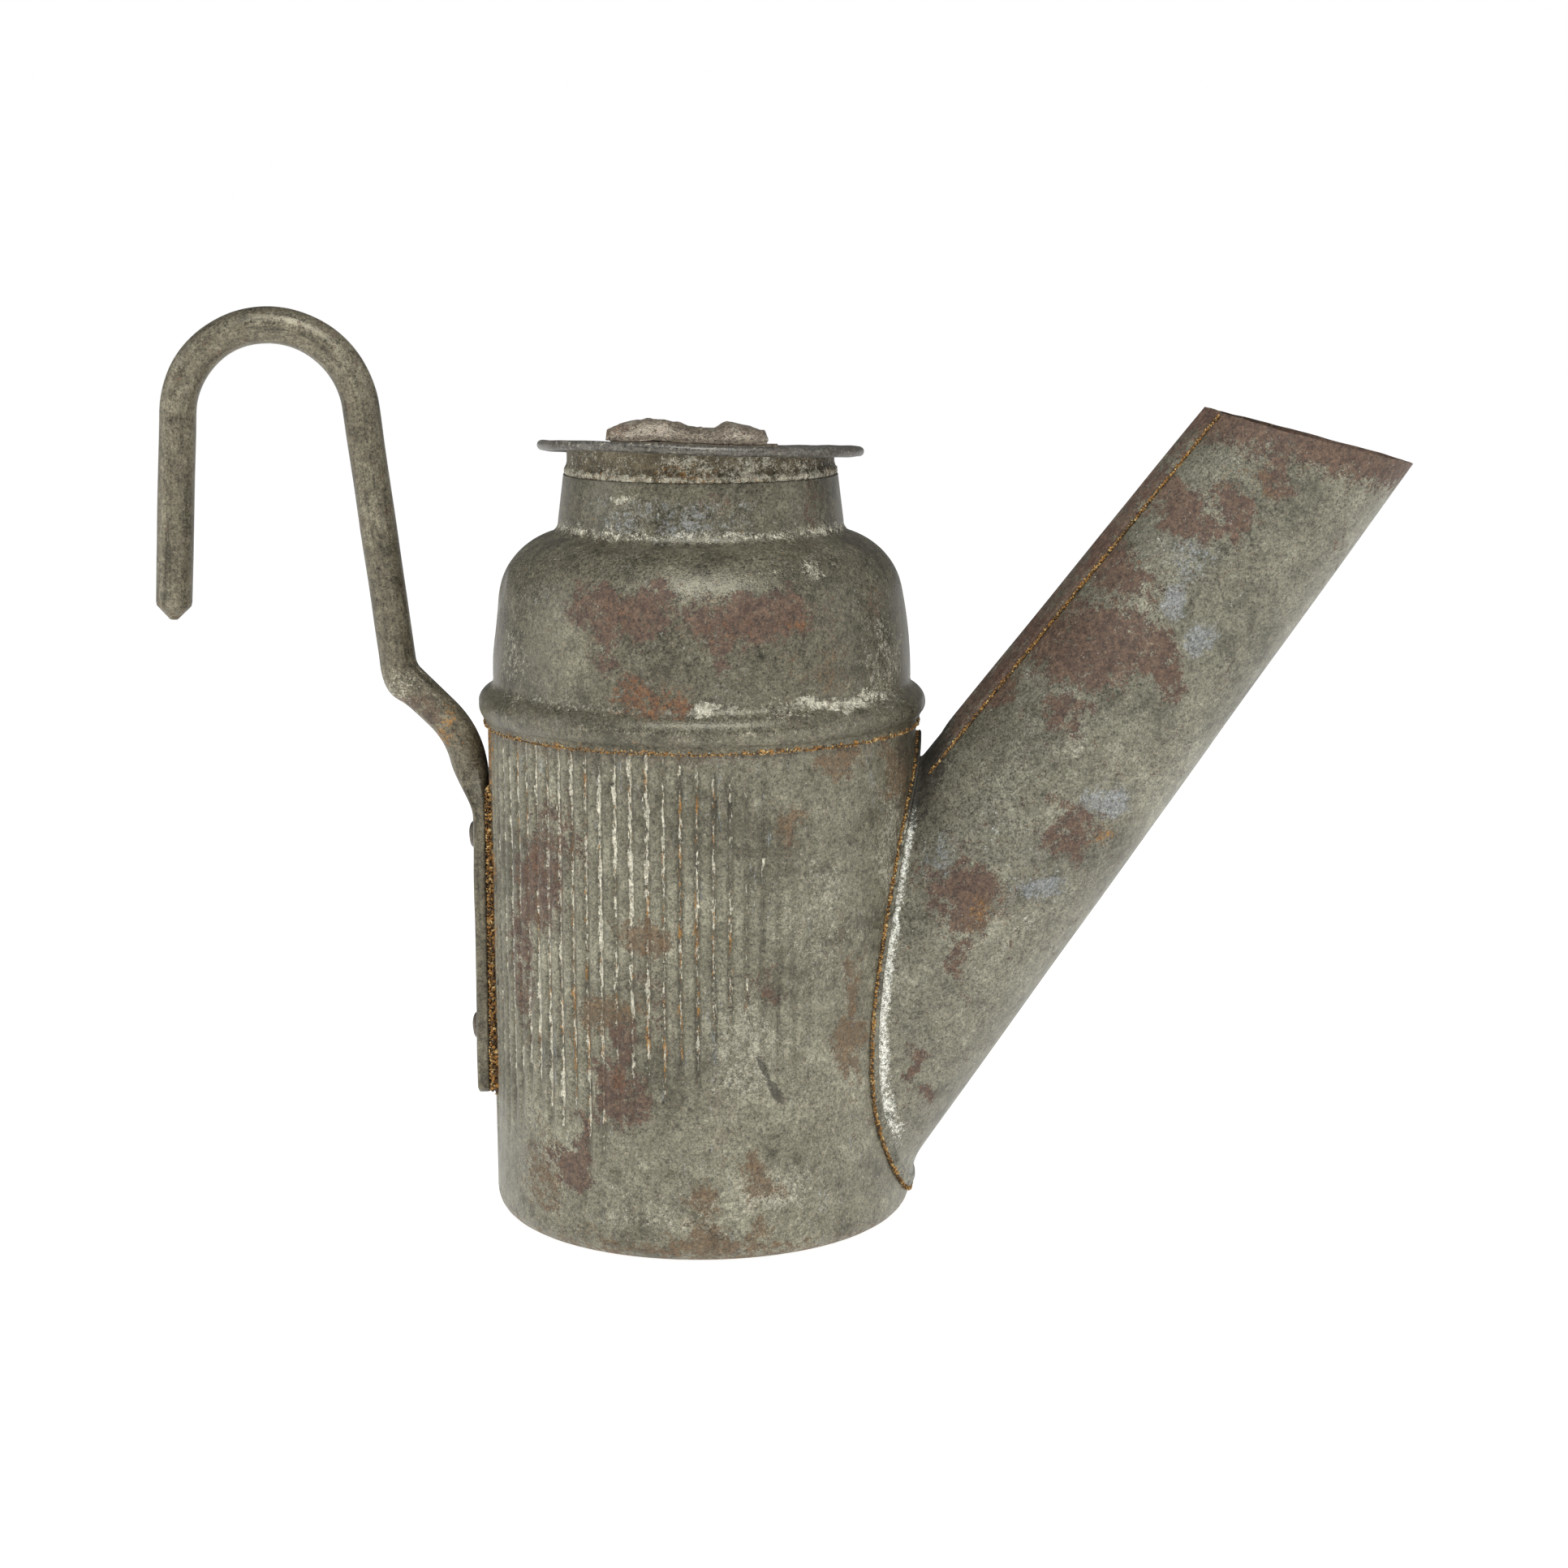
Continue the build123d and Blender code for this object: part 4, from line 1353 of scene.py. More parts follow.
# ---------------------------------------------------------------- lid
@dataclass
class Lid:
    """The push-in lid: a bent disc with a rolled edge, a plug and a crushed strap for a grip."""

    height: float = 0.1013
    front_rise: float = tan(radians(3.95))
    left_rise: float = tan(radians(1.0))
    radius: float = 0.0212
    roll: float = 0.00065
    disc_sheet: float = 0.00045
    plug_radius: float = 0.01737
    plug_bottom: float = 0.0932
    rim: float = 0.0982
    bead: float = 0.01775
    sheet: float = 0.0004
    grip_half_width: float = 0.0045
    columns: int = 200
    disc_finish: Finish = field(default_factory=lambda: DISC_FINISH)
    plug_finish: Finish = field(default_factory=lambda: PLUG_FINISH)
    grip_finish: Finish = field(default_factory=lambda: GRIP_FINISH)

    def tilt(self, grid: Grid) -> Grid:
        """Give the height of the disc's underside above points in plan, bent as the disc is."""
        bend = 0.00022 * np.sin(2 * np.arctan2(grid[..., 1], grid[..., 0]) + 0.6)
        radius = np.hypot(grid[..., 0], grid[..., 1]) / self.radius
        return self.height - self.front_rise * grid[..., 1] - self.left_rise * grid[..., 0] + bend * radius**2

    def build_disc(self, effects: Effects) -> bpy.types.Object:
        """Build the disc."""
        centre = self.radius - self.roll
        outline = Outline((0.0004, self.disc_sheet), (1, 0)).line_to((centre - 0.0008, self.disc_sheet), 8)
        top = self.roll * 0.95
        outline.line_to((centre - 0.0004, top * 0.8), 2)
        for angle in np.radians(np.arange(110, -111, -20)):
            outline.points.append(np.array((centre + self.roll * cos(angle), self.roll * sin(angle))))
        outline.line_to((centre - 0.0006, 0.0), 1).line_to((0.0004, 0.0), 8)
        grid = lathe(outline.array(), self.columns)
        rolled = ease(centre - 0.001, centre, np.hypot(grid[..., 0], grid[..., 1]))
        grid[..., 2] += self.tilt(grid)
        grid = grid + swells(grid, 0.004) * 0.00008
        piece = skin("lid_disc_sheet", grid, False, {"rolled": rolled})
        settle(piece, "lid", "lid_disc", self.disc_finish.build(effects))
        return piece

    def build_plug(self, effects: Effects) -> bpy.types.Object:
        """Build the plug that closes the neck, up to the disc's underside."""
        inner = self.plug_radius - self.sheet
        seat = self.rim + 0.00004
        outline = Outline((self.plug_radius, self.plug_bottom)).line_to((self.plug_radius, seat), 4)
        outline.line_to((self.bead - 0.0001, seat), 1).line_to((self.bead, seat + 0.0003), 1)
        outline.line_to((self.bead, seat + 0.0006), 1).line_to((self.plug_radius + 0.0001, seat + 0.0012), 3)
        outline.line_to((self.plug_radius, seat + 0.0016), 1).line_to((self.plug_radius, 1.0), 6)
        outline.line_to((inner, 1.0), 1).line_to((inner, self.plug_bottom), 6)
        grid = lathe(outline.array(), self.columns)
        low = seat + 0.0016
        share = np.clip((grid[..., 2] - low) / (1.0 - low), 0, 1)
        inside = np.hypot(grid[..., 0], grid[..., 1]) < inner + 0.00001
        base = np.where(inside, self.plug_bottom, low)
        share = np.where(inside, np.clip((grid[..., 2] - self.plug_bottom) / (1.0 - self.plug_bottom), 0, 1), share)
        grid[..., 2] = np.where(grid[..., 2] > low, base + share * (self.tilt(grid) - 0.00001 - base), grid[..., 2])
        values = {
            "bead": np.exp(-((grid[..., 2] - seat - 0.0005) / 0.0006) ** 2),
            # a thin band just under the disc, where the finish paints the disc's shadow
            "painted_shadow_under_disc": 1 - ease(0.0, 0.0012, self.tilt(grid) - grid[..., 2]),
        }
        piece = skin("lid_plug_ring", grid, True, values)
        settle(piece, "lid", "lid_plug", self.plug_finish.build(effects))
        return piece

    def build_grip(self, effects: Effects) -> bpy.types.Object:
        """Build the crushed strap: along the disc, folded at its left end and back over itself."""
        path = Outline((0.0100, 0.0002), (-1, 0))
        path.line_to((-0.0106, 0.0002), 40).arc_to((-0.0118, 0.0018), 8)
        for place in (
            (-0.0104, 0.0026),
            (-0.0068, 0.0028),
            (-0.0046, 0.0030),
            (-0.0026, 0.0028),
            (-0.0004, 0.0024),
            (0.0024, 0.0026),
            (0.0036, 0.0029),
            (0.0060, 0.0027),
            (0.0082, 0.0021),
            (0.0086, 0.0012),
        ):
            path.line_to(place, 5)
        line = path.array()
        left = left_of(line) * self.sheet / 2
        width = np.linspace(-self.grip_half_width, self.grip_half_width, 25)
        across = np.concatenate((width, width[::-1]))
        side = np.concatenate((np.ones(25), -np.ones(25)))
        x = line[:, 0, None] + left[:, 0, None] * side
        up = line[:, 1, None] + left[:, 1, None] * side
        y = across + 0 * x
        upper = ease(0.0005, 0.0018, line[:, 1])[:, None]
        crushed = ease(0.0018, self.grip_half_width, np.abs(y)) ** 1.5
        up = up - upper * crushed * np.maximum(up - 0.00045, 0)
        y = y * (1 + 0.02 * upper)
        grid = np.stack((x, y, up), axis=-1)
        middle = np.stack((line[:, 0, None] + 0 * side, y, line[:, 1, None] + 0 * side), axis=-1)
        crumple = [noise.turbulence_vector(Vector(point / 0.0066), 3, True) for point in middle.reshape(-1, 3)]
        crumple = (np.array(crumple).reshape(grid.shape) - 0.6) * np.array((0.0002, 0.0002, 0.0014))
        grid = grid + crumple * (upper * (1 - 0.75 * crushed))[..., None]
        grid[..., 2] += self.tilt(grid) + self.disc_sheet
        piece = skin("lid_grip_strap", grid, False)
        piece.data.set_sharp_from_angle(angle=radians(60))
        settle(piece, "lid", "lid_grip", self.grip_finish.build(effects))
        return piece


# ---------------------------------------------------------------- finishes
MM = 0.001


def spot(x: float, y: float, z: float, wide: float, high: float, lean: float = 0.0, strength: float = 0.8) -> Patch:
    """Place a patch by its centre and half sizes in millimetres, and its lean in degrees."""
    deep = 5 + wide / 2
    return Patch((x * MM, y * MM, z * MM), (wide * MM, deep * MM, high * MM), radians(lean), strength)


CUP_FINISH = Finish(
    name="fluted_tin",
    # painted shade in the flute valleys
    painted_hollow_shade="groove",
    dark=(0.097, 0.089, 0.058),
    middle=(0.179, 0.166, 0.116),
    light=(0.278, 0.262, 0.187),
    stains=(
        Stain(Kind.BROWN, 0.14, 0.0025, opacity=0.6),
        Stain(Kind.BROWN, 0.12, 0.0016, opacity=0.5, stretch=(1.0, 1.0, 0.12)),
        Stain(Kind.SOOT_AND_SHADE, 0.02, 0.0007, opacity=0.3),
        # painted shadow under the skirt's edge, mixed with a brown rust wash
        Stain(Kind.BROWN, 0.0, 0.0016, attribute="under_skirt", pull=0.6, opacity=0.7),
        Stain(Kind.RUSTY, 0.0, 0.0008, opacity=0.75),
        Stain(Kind.BLUISH, 0.06, 0.0012, opacity=0.4, stretch=(1.0, 1.0, 0.2)),
        Stain(Kind.PALE, -0.06, 0.00045, opacity=0.6),
        # painted shade: dark streaks along the flute valleys
        Stain(Kind.SOOT_AND_SHADE, -0.25, 0.0016, attribute="groove", pull=0.75, opacity=0.5, stretch=(1.0, 1.0, 0.1)),
        Stain(
            Kind.OCHRE, -0.42, 0.0014, attribute="lime_line", pull=0.95, opacity=0.75, stretch=(1.0, 1.0, 0.2)
        ),
        Stain(
            Kind.PALE, -0.34, 0.0011, attribute="lime_line", pull=1.02, opacity=0.95, stretch=(1.0, 1.0, 0.25)
        ),
        Stain(Kind.SOOT_AND_SHADE, -0.1, 0.002, attribute="strip_side", pull=0.6, opacity=0.85),
        Stain(Kind.OCHRE, -0.1, 0.0012, attribute="strip_side", pull=0.62, opacity=0.9),
        Stain(Kind.PALE, 0.03, 0.0007, (
            spot(5.6, -27.3, 27.6, 4.0, 6.0, strength=0.5), spot(10.2, -25.9, 9.1, 4.5, 2.4, strength=0.6),
            spot(24.8, -13.2, 52.7, 2.4, 12.0, strength=0.5), spot(16.0, -23.0, 45.0, 5.0, 8.0, strength=0.3),
            spot(-3.0, -27.0, 7.0, 9.0, 3.5, strength=0.3),
        ), opacity=0.5),
        Stain(Kind.RUSTY, -0.02, 0.0012, (
            spot(3.0, 27.6, 6.0, 9.0, 2.2), spot(-16.0, 23.0, 52.0, 3.5, 5.5, strength=0.6),
            spot(17.0, 22.2, 59.0, 4.0, 3.0, strength=0.7), spot(1.0, -27.8, 8.1, 2.4, 2.9),
            spot(6.9, -26.9, 12.6, 2.2, 3.2, 20), spot(8.7, -26.3, 4.6, 2.0, 1.6),
            spot(-5.9, -27.4, 42.7, 3.5, 1.8), spot(-12.2, -25.1, 32.2, 5.0, 3.0),
            spot(17.8, -21.8, 63.0, 3.0, 2.0), spot(11.5, -25.6, 56.7, 1.6, 1.8),
            spot(19.5, -20.0, 30.0, 1.6, 9.0), spot(25.5, -11.0, 60.5, 3.5, 5.0),
            spot(9.0, -26.4, 9.5, 2.0, 2.2), spot(0.5, -27.7, 2.4, 15.0, 1.6),
            spot(-20.0, -19.0, 10.0, 4.0, 8.0, strength=0.5),
        ), attribute="foot", pull=0.6, opacity=0.8),
        Stain(Kind.MAROON, -0.02, 0.0012, (
            spot(12.0, 25.2, 44.0, 5.0, 4.5), spot(-9.0, 26.4, 20.0, 3.5, 5.0, strength=0.7),
            spot(19.0, 20.4, 14.0, 3.0, 3.5, strength=0.7), spot(-20.1, -19.6, 48.8, 3.4, 7.0, strength=0.85),
            spot(-22.5, -16.5, 40.0, 2.2, 12.0, strength=0.7), spot(-10.2, -25.9, 22.4, 3.0, 4.6, strength=1.0),
            spot(-9.4, -26.1, 28.0, 1.4, 4.0, strength=0.8), spot(-15.4, -23.1, 11.7, 2.5, 3.0, strength=1.0),
            spot(-15.0, -23.3, 16.5, 0.8, 3.5), spot(-17.0, -22.0, 54.0, 4.0, 6.0, strength=0.45),
            spot(-6.0, -27.0, 33.0, 2.0, 7.0, strength=0.45), spot(9.0, -26.5, 36.0, 1.5, 3.0, strength=0.5),
        ), opacity=0.85),
        Stain(Kind.RED, -0.2, 0.0007, (
            spot(-9.5, -26.2, 24.0, 1.2, 3.0), spot(-21, -18, 50, 1.2, 2.5),
        ), opacity=0.9),
        Stain(Kind.SOOT_AND_SHADE, -0.12, 0.0003, (
            spot(26.2, -10.2, 63.5, 1.6, 3.2, 0, 0.75), spot(8.1, -26.7, 25.8, 0.5, 1.9, 25, 1.1),
            spot(9.5, -26.3, 22.4, 0.55, 2.2, 25, 1.1), spot(2.4, -27.9, 59.2, 0.35, 1.2, 0, 1.0),
            spot(4.1, -27.9, 59.2, 0.3, 1.2, 0, 1.0), spot(2.5, -27.7, 3.4, 1.4, 0.9, strength=0.6),
            spot(-3.0, -27.7, 26.0, 1.0, 1.8, strength=0.55),
        ), opacity=0.75),
    ),
)

SHOULDER_FINISH = Finish(
    name="shoulder_tin",
    dark=(0.077, 0.07, 0.046),
    middle=(0.13, 0.117, 0.079),
    light=(0.198, 0.181, 0.124),
    stains=(
        Stain(Kind.BROWN, 0.1, 0.003, opacity=0.5),
        Stain(Kind.SOOT_AND_SHADE, 0.02, 0.0007, opacity=0.3),
        Stain(Kind.RUSTY, -0.12, 0.0012, (
            spot(14.5, -22.5, 76.0, 4.0, 4.0, strength=0.5), spot(22.0, -13.1, 84.0, 1.8, 4.0, strength=0.6),
        ), opacity=0.75),
        # painted highlight: a thin pale line along the bead's crest
        Stain(Kind.PALE, -0.3, 0.0006, attribute="bead", pull=0.5, opacity=0.7),
        Stain(Kind.PALE, -0.08, 0.00045, opacity=0.6),
        Stain(Kind.BLUISH, 0.0, 0.001, (spot(-4.4, -17.8, 93.8, 10.0, 2.2, strength=0.5),), opacity=0.4),
        Stain(Kind.PALE, -0.03, 0.0007, (
            spot(24.0, -13.0, 75.5, 4.5, 6.0, strength=0.38), spot(-23.5, -14, 75.0, 2.5, 5, strength=0.38),
            spot(15, -19, 87.4, 2.2, 1.0, strength=0.5),
        ), attribute="crease", pull=0.36, opacity=0.6),
        Stain(Kind.PALE, -0.06, 0.0008, (
            spot(1.3, -27.5, 71.5, 2.4, 0.9), spot(17.5, -21.5, 71.5, 9.0, 1.0),
            spot(6.0, 27.0, 71.5, 9.0, 1.0), spot(-9.6, -15.3, 96.0, 2.2, 0.5),
        ), attribute="neck_crease", pull=0.6, opacity=0.85),
        Stain(Kind.MAROON, 0.0, 0.0012, (
            spot(8.0, 24.6, 82.0, 7.0, 3.0, strength=0.9), spot(-13.0, 22.5, 79.0, 4.0, 2.6, strength=0.8),
            spot(-24.5, 6.0, 83.0, 3.0, 3.0, strength=0.7), spot(-9.7, -24.4, 82.6, 8.0, 2.6, strength=0.95),
            spot(6.7, -25.4, 82.3, 8.5, 3.4, strength=0.95), spot(-10.8, -24.6, 77.4, 1.6, 2.2),
            spot(-4.0, -24.0, 85.0, 3.0, 1.6), spot(3.0, -26.4, 78.0, 2.0, 2.0),
            spot(22.0, -13.1, 84.0, 1.8, 4.0, strength=0.45), spot(2.6, -17.9, 96.5, 3.0, 1.2, strength=0.5),
            spot(14.0, -11.0, 95.5, 2.0, 2.0, strength=0.5),
        ), opacity=0.85),
        Stain(Kind.RED, -0.12, 0.0009, (
            spot(4.0, -25.8, 81.5, 6.0, 1.8, strength=0.42), spot(-9.0, -25, 81.8, 4.0, 1.6, strength=0.3),
            spot(-7.2, -26.6, 73.0, 3.0, 2.6), spot(-3.0, -27.0, 71.8, 2.6, 1.6),
            spot(3.6, -26.2, 79.5, 2, 2, strength=0.5), spot(12, -24.0, 81.5, 2, 1.5, strength=0.5),
        ), opacity=0.9),
        Stain(Kind.SOOT_AND_SHADE, -0.15, 0.0007, (
            spot(5.9, -17.2, 94.7, 1.5, 0.9, strength=0.6),
        ), attribute="rim", pull=0.35, opacity=0.7),
        Stain(Kind.OCHRE, -0.12, 0.0009, attribute="skirt", pull=0.42, opacity=0.6),
    ),
    roughness=0.42,
)

SPOUT_FINISH = Finish(
    name="spout_tin",
    dark=(0.112, 0.106, 0.074),
    middle=(0.182, 0.171, 0.123),
    light=(0.273, 0.26, 0.191),
    stains=(
        Stain(Kind.BROWN, 0.1, 0.003, opacity=0.5),
        Stain(Kind.SOOT_AND_SHADE, 0.02, 0.0007, opacity=0.3),
        Stain(Kind.BLUISH, 0.02, 0.0006, (
            spot(62.6, -12.8, 88.2, 3.0, 3.0, strength=0.5), spot(63.7, -13.7, 78.5, 2.4, 1.8),
            spot(51.8, -13.7, 57.1, 3.4, 2.4), spot(44.1, -14.1, 46.0, 3.0, 1.8),
            spot(60.0, -13.3, 83.1, 1.6, 2.2), spot(30.5, -16.0, 50.0, 2.0, 4.0, strength=0.5),
            spot(41.0, -15.0, 48.0, 9.0, 9.0, strength=0.2),
        ), opacity=0.55),
        Stain(Kind.MAROON, 0.02, 0.0009, opacity=0.8),
        Stain(Kind.PALE, 0.0, 0.0006, opacity=0.55),
        Stain(Kind.PALE, 0.02, 0.0006, (
            spot(47.9, -14.3, 65.1, 1.6, 1.6, strength=0.5), spot(40, -15, 41, 4, 3, strength=0.3),
        ), opacity=0.55),
        Stain(Kind.MAROON, 0.09, 0.0012, (
            spot(60.5, -8.7, 95.0, 6.5, 2.8, -35), spot(53.0, -6.6, 88.0, 7.5, 3.0, -52),
            spot(50.0, 12.6, 75.0, 6.0, 4.6), spot(61.0, 12.9, 88.0, 4.0, 3.0, strength=0.7),
            spot(38.0, 14.9, 50.0, 4.6, 4.0, strength=0.7), spot(51.0, -12.4, 77.6, 7.0, 5.2),
            spot(45.0, -7.4, 76.5, 6.5, 3.2, -50), spot(57.0, -13.8, 77.0, 3.6, 3.1),
            spot(67.6, -12.6, 94.4, 2.4, 3.4), spot(64.1, -12.4, 91.3, 2.6, 2.1, strength=0.6),
            spot(73.0, -12.7, 99.0, 2.0, 1.6), spot(60.2, -13.9, 74.4, 1.8, 3.0),
            spot(46.9, -13.4, 68.6, 3.0, 2.1, strength=0.7), spot(47.6, -14.3, 53.5, 3.2, 3.8),
            spot(33.6, -15.2, 45.2, 4.6, 4.2), spot(33.7, -15.4, 37.2, 1.6, 3.4, strength=0.6),
            spot(39.2, -5.4, 71.6, 3.8, 1.2, 50), spot(27.5, -15.2, 23.1, 1.2, 2.4),
            spot(29.4, -12.9, 18.1, 1.8, 1.2),
        ), attribute="mouth", pull=0.95, opacity=0.9),
        Stain(Kind.RUSTY, -0.08, 0.001, (
            spot(37.0, -15.0, 42.6, 3.6, 2.6, strength=0.5), spot(50.8, -14.2, 52.4, 2.6, 2.0, strength=0.5),
            spot(70.5, -12.7, 98.4, 4.0, 2.6, strength=0.5),
        ), opacity=0.8),
        Stain(Kind.MAROON, 0.05, 0.0014, attribute="fold", pull=0.6, opacity=0.85),
        Stain(Kind.OCHRE, -0.2, 0.0007, (
            spot(51.5, -14.2, 52.0, 2.2, 1.2, strength=0.6), spot(35.6, -15.4, 43.6, 2, 2, strength=0.6),
        ), attribute="slit", pull=0.5, opacity=0.8),
        Stain(Kind.SOOT_AND_SHADE, -0.1, 0.001, attribute="slit", pull=0.62, opacity=0.7),
        # painted highlight over shiny solder along the concave flare
        Stain(Kind.PAINTED_HIGHLIGHT_ON_SOLDER, -0.1, 0.0006, attribute="flare", pull=0.72, opacity=0.88),
        # painted shade in the valley between the spout's top and the cup, plus one real dark spot near the mouth
        Stain(Kind.SOOT_AND_SHADE, -0.12, 0.0009, (
            spot(66.1, -13.4, 88.3, 1.6, 1.2, strength=0.6),
        ), attribute="valley", pull=1.3, opacity=0.93),
        Stain(Kind.SOOT_AND_SHADE, -0.1, 0.0012, attribute="edge", pull=0.5, opacity=0.6),
    ),
)

HOOK_FINISH = Finish(
    name="hook_rod",
    dark=(0.082, 0.071, 0.047),
    middle=(0.152, 0.132, 0.088),
    light=(0.241, 0.216, 0.149),
    stains=(
        Stain(Kind.BROWN, 0.12, 0.002, opacity=0.6),
        Stain(Kind.SOOT_AND_SHADE, 0.0, 0.0008, opacity=0.45),
        Stain(Kind.MAROON, 0.1, 0.0022, (spot(-37.0, -2, 67.5, 2, 3, strength=0.5),), opacity=0.6),
        Stain(Kind.PALE, -0.05, 0.0004, opacity=0.5),
        Stain(Kind.PALE, -0.14, 0.0008, attribute="kink", pull=0.52, opacity=0.85),
        Stain(Kind.OCHRE, -0.2, 0.0009, (spot(-33.5, -1.0, 65.0, 2.0, 3.5, strength=0.75),), opacity=0.8),
        Stain(Kind.RUSTY, 0.0, 0.0012, attribute="tip", pull=0.55, opacity=0.8),
    ),
    metal=0.45,
    roughness=0.45,
    streaks="stretched",
    relief=5e-05,
)

RIVET_FINISH = Finish(
    name="rivet_head",
    dark=(0.08, 0.068, 0.05),
    middle=(0.115, 0.095, 0.07),
    light=(0.17, 0.15, 0.12),
    stains=(
        Stain(Kind.MAROON, 0.2, 0.0006, opacity=0.7),
    ),
)

DISC_FINISH = Finish(
    name="lid_disc_tin",
    dark=(0.08, 0.072, 0.058),
    middle=(0.115, 0.105, 0.086),
    light=(0.17, 0.16, 0.135),
    stains=(
        Stain(Kind.MAROON, 0.08, 0.0012, opacity=0.7),
        Stain(Kind.PALE, -0.1, 0.0005, attribute="rolled", pull=0.3, opacity=0.5),
    ),
    roughness=0.42,
)

PLUG_FINISH = Finish(
    name="lid_plug_tin",
    dark=(0.045, 0.036, 0.02),
    middle=(0.128, 0.105, 0.063),
    light=(0.225, 0.189, 0.121),
    stains=(
        Stain(Kind.PALE, 0.27, 0.0008, (
            spot(4, -17, 100.2, 9, 1.2, strength=0.25),
        ), attribute="bead", pull=0.42, opacity=0.92),
        Stain(Kind.OCHRE, 0.0, 0.0006, (
            spot(-2, -17, 99, 6, 1.2, strength=0.4),
        ), attribute="bead", pull=0.2, opacity=0.9),
        # painted shadow: a dark line just under the disc
        Stain(Kind.SOOT_AND_SHADE, -0.1, 0.001, attribute="painted_shadow_under_disc", pull=0.62, opacity=0.75),
    ),
    roughness=0.6,
)

GRIP_FINISH = Finish(
    name="lid_grip_tin",
    dark=(0.15, 0.12, 0.085),
    middle=(0.22, 0.18, 0.133),
    light=(0.38, 0.34, 0.266),
    stains=(
        Stain(Kind.MAROON, 0.12, 0.0012, opacity=0.8),
        Stain(Kind.RED, -0.2, 0.0009, (spot(-10.5, 0, 104, 1.8, 2, strength=0.7),), opacity=0.8),
        Stain(Kind.PALE, 0.0, 0.0005, opacity=0.5),
    ),
    roughness=0.4,
)

RUST_CRUMBS = CrustFinish("rust_crumbs", (0.07, 0.04, 0.018), (0.36, 0.17, 0.035), (0.6, 0.42, 0.17))
LIME_CRUMBS = CrustFinish("lime_crumbs", (0.34, 0.31, 0.22), (0.55, 0.52, 0.42), (0.62, 0.42, 0.14))


# ---------------------------------------------------------------- stage
@dataclass
class Stage:
    """The pale floor, the soft studio light and the camera."""

    floor_radius: float = 60.0
    floor_glow: float = 0.9
    lights: tuple[tuple[str, Point, tuple[float, float], float], ...] = (  # name, place, size and watts
        ("overhead", (0.02, -0.42, 0.62), (0.55, 0.18), 4.6),
        ("left_side", (-0.8, -0.1, 0.25), (0.4, 0.8), 2.2),
        ("right_side", (0.9, -0.05, 0.3), (0.4, 0.8), 1.6),
    )
    aim: Point = (0.01, 0.0, 0.06)
    world_strength: float = 0.16
    camera_place: Point = (0.01083, -0.39528, 0.12865)
    camera_dip: float = 0.179
    focal_length: float = 69.64
    sensor: float = 36.0

    def build(self) -> None:
        """Build the floor, the lights, the world and the camera."""
        self.build_floor()
        for name, place, size, power in self.lights:
            self.build_light(name, place, size, power)
        self.build_world()
        scene = bpy.context.scene
        camera = bpy.data.objects.new("camera", bpy.data.cameras.new("camera"))
        camera.data.lens = self.focal_length
        camera.data.sensor_width = self.sensor
        camera.data.clip_start = 0.01
        camera.location = self.camera_place
        camera.rotation_euler = (pi / 2 - self.camera_dip, 0, 0)
        scene.collection.objects.link(camera)
        scene.camera = camera
        scene.view_settings.view_transform = "Standard"

    def build_floor(self) -> None:
        """Build the floor as a flat disc."""
        turn = np.arange(96) * 2 * pi / 96
        mesh = bpy.data.meshes.new("floor")
        points = [(self.floor_radius * cos(a), self.floor_radius * sin(a), -0.00002) for a in turn]
        mesh.from_pydata(points, [], [list(range(96))])
        floor = new_piece("floor", mesh)
        material, _, shader = new_material("pale_floor")
        shader.inputs["Base Color"].default_value = (0.6, 0.6, 0.6, 1)
        shader.inputs["Roughness"].default_value = 0.9
        shader.inputs["Emission Color"].default_value = (1, 1, 1, 1)
        shader.inputs["Emission Strength"].default_value = self.floor_glow
        mesh.materials.append(material)

    def build_light(self, name: str, place: Point, size: tuple[float, float], power: float) -> None:
        """Build a soft rectangular light that faces the object.

        Args:
            name: the light's name.
            place: where it stands.
            size: its width and height.
            power: its watts.
        """
        lamp = bpy.data.lights.new(name, "AREA")
        lamp.shape = "RECTANGLE"
        lamp.size, lamp.size_y = size
        lamp.energy = power
        lamp.color = (0.94, 0.97, 1.0)
        light = bpy.data.objects.new(name, lamp)
        light.location = place
        light.rotation_euler = (Vector(self.aim) - Vector(place)).to_track_quat("-Z", "Y").to_euler()
        bpy.context.scene.collection.objects.link(light)

    def build_world(self) -> None:
        """Build an even pale surround that looks white behind the object."""
        world = bpy.data.worlds.new("studio")
        bpy.context.scene.world = world
        world.use_nodes = True
        graph = Graph(world.node_tree)
        background = world.node_tree.nodes["Background"]
        seen = graph.node("ShaderNodeLightPath").outputs["Is Camera Ray"]
        graph.feed(background.inputs["Color"], (1.0, 1.0, 1.0))
        graph.feed(background.inputs["Strength"], graph.blend(seen, self.world_strength, 1.0))


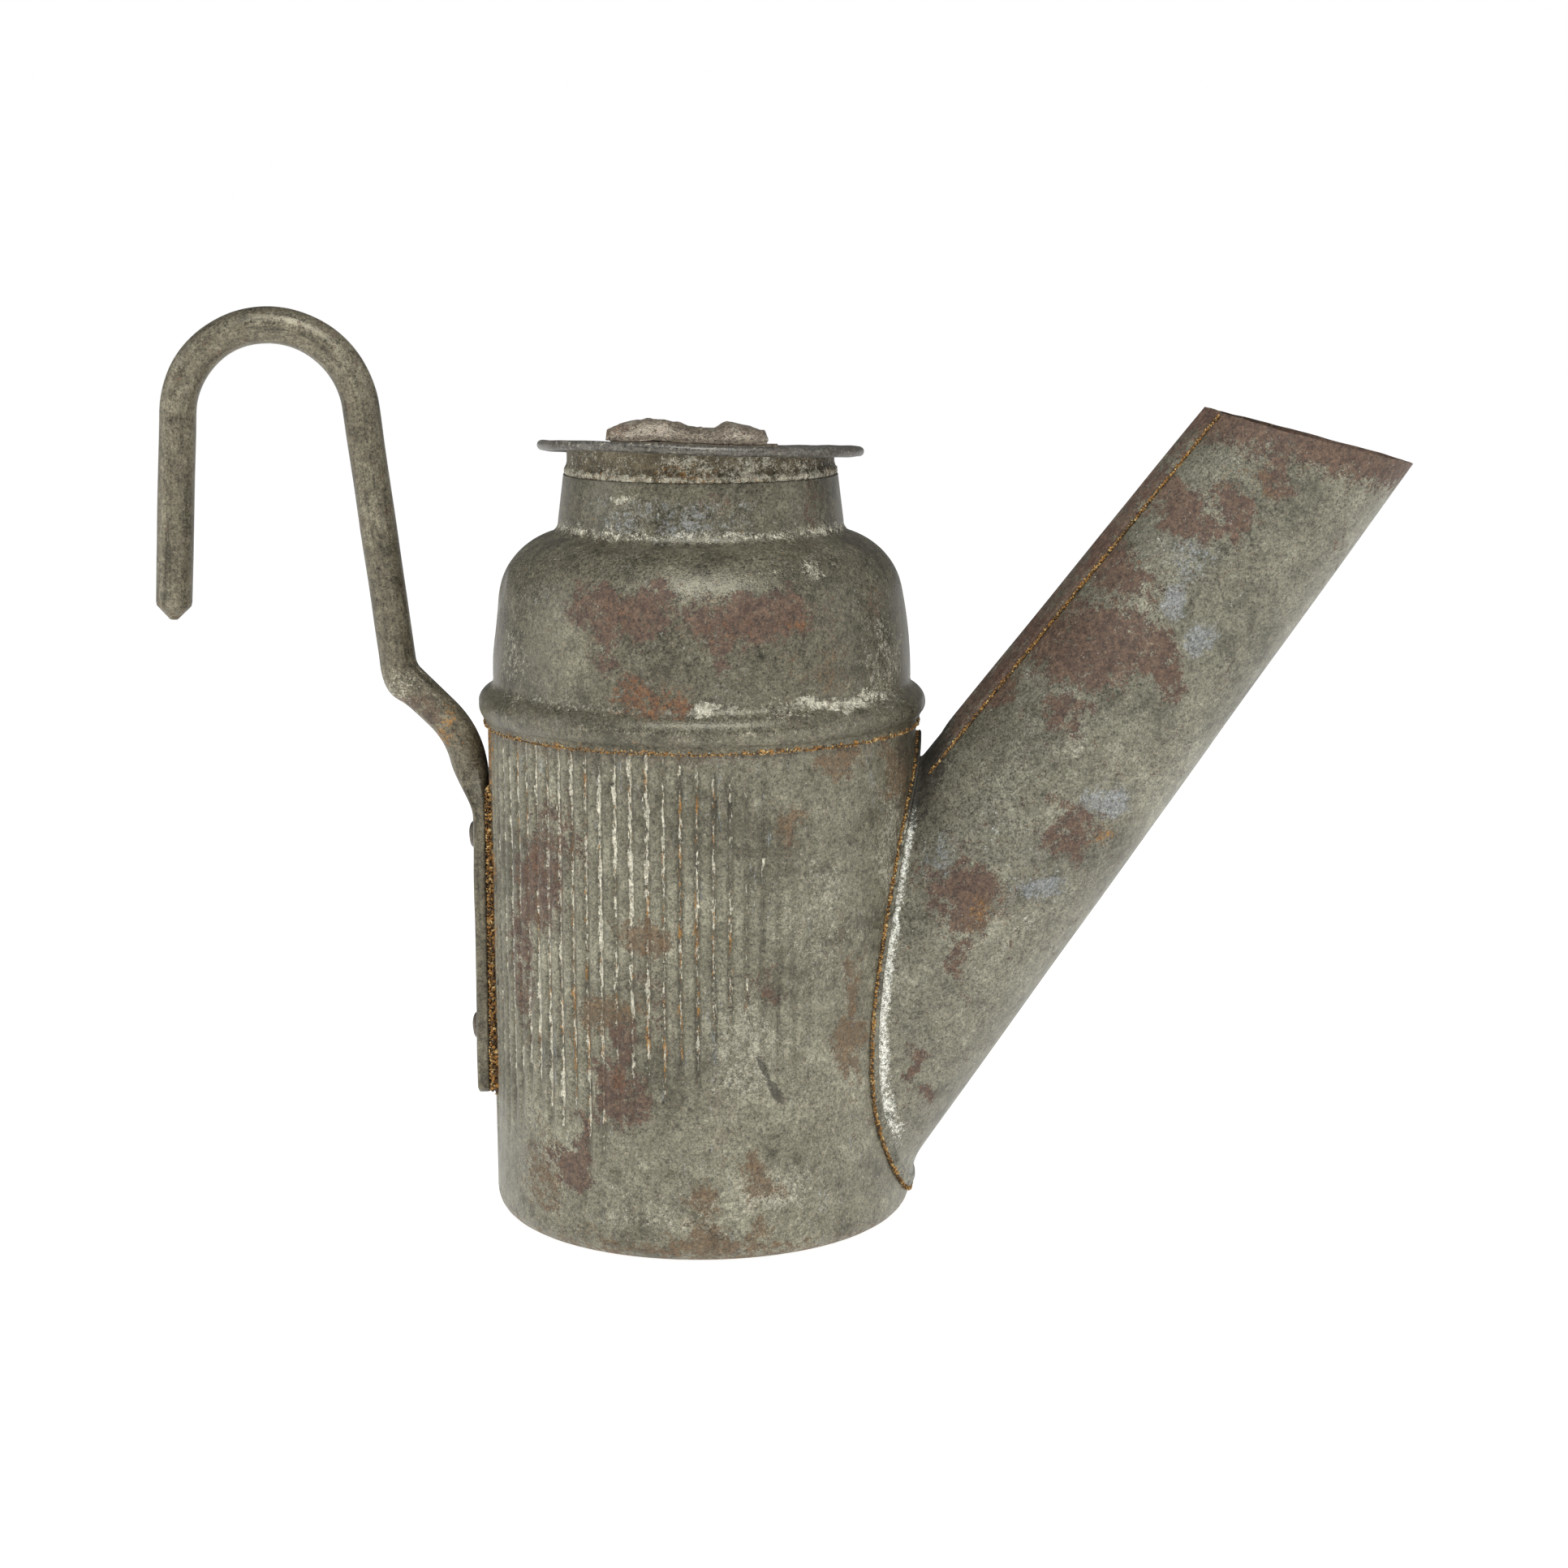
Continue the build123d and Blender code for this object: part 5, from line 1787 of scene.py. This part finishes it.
# ---------------------------------------------------------------- the whole lamp
def build_crusts(shoulder: Shoulder, spout: Spout, hook: Hook, lid: Lid) -> None:
    """Scatter rust and lime where sheets meet.

    Args:
        shoulder: the shoulder, for the skirt's edge.
        spout: the spout, for the saddle's edge and the seam.
        hook: the hook, for the gap behind the strip.
        lid: the lid, for its bead.
    """
    tree = CrustTree()
    rust, lime = RUST_CRUMBS.build(), LIME_CRUMBS.build()
    edge = shoulder.ring(shoulder.skirt_radius - 0.00018, shoulder.skirt_edge + 0.00002)
    Crust("skirt_rust", "can", "shoulder_sheet", 0.00005, 0.00018, (0.0002, 0.0002, 0.00026), 0.64, 0.005, 3).build(
        tree, edge, rust
    )
    Crust("skirt_lime", "can", "shoulder_sheet", 0.0002, 0.0001, (0.00018, 0.00018, 0.00014), 0.46, 0.004, 5).build(
        tree, edge, lime
    )
    Crust("saddle_rust", "can", "spout_sheet", 0.00005, 0.00018, (0.00018, 0.00018, 0.00018), 0.7, 0.006, 8).build(
        tree, spout.edge_line, rust
    )
    Crust("seam_rust", "can", "spout_sheet", 0.00005, 0.00017, (0.00015, 0.00015, 0.00015), 0.72, 0.005, 11).build(
        tree, spout.seam_line, rust
    )
    height = np.linspace(hook.strip_bottom + 0.0004, hook.strip_top + 0.004, 60)
    for side, seed in ((-1, 21), (1, 22)):
        line = np.stack((0 * height - 0.0277, 0 * height + side * 0.0046, height), axis=1)
        name = "strip_rust_front" if side < 0 else "strip_rust_back"
        Crust(name, "can", "hook_iron", 0.00002, 0.0003, (0.0005, 0.0014, 0.0002), 0.66, 0.003, seed).build(
            tree, line, rust
        )
    ring = shoulder.ring(lid.plug_radius + 0.00025, lid.rim + 0.00035)
    Crust("plug_lime", "lid", "plug_sheet", 0.00014, 0.0001, (0.00012, 0.00012, 0.0007), 0.5, 0.004, 31).build(
        tree, ring, lime
    )


def main() -> None:
    """Build the lamp and its stage."""
    logging.basicConfig(level=logging.INFO, format="%(message)s")
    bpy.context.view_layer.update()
    noise.seed_set(NOISE_SEED)
    effects = Effects()
    cup = Cup()
    spout, shoulder, hook, lid = Spout(cup), Shoulder(), Hook(), Lid()
    spout.build(effects)
    cup.build(effects, spout.bore())
    shoulder.build(effects)
    hook.build(effects)
    hook.build_rivets(effects)
    lid.build_disc(effects)
    lid.build_plug(effects)
    lid.build_grip(effects)
    build_crusts(shoulder, spout, hook, lid)
    Stage().build()


if __name__ == "__main__":
    main()
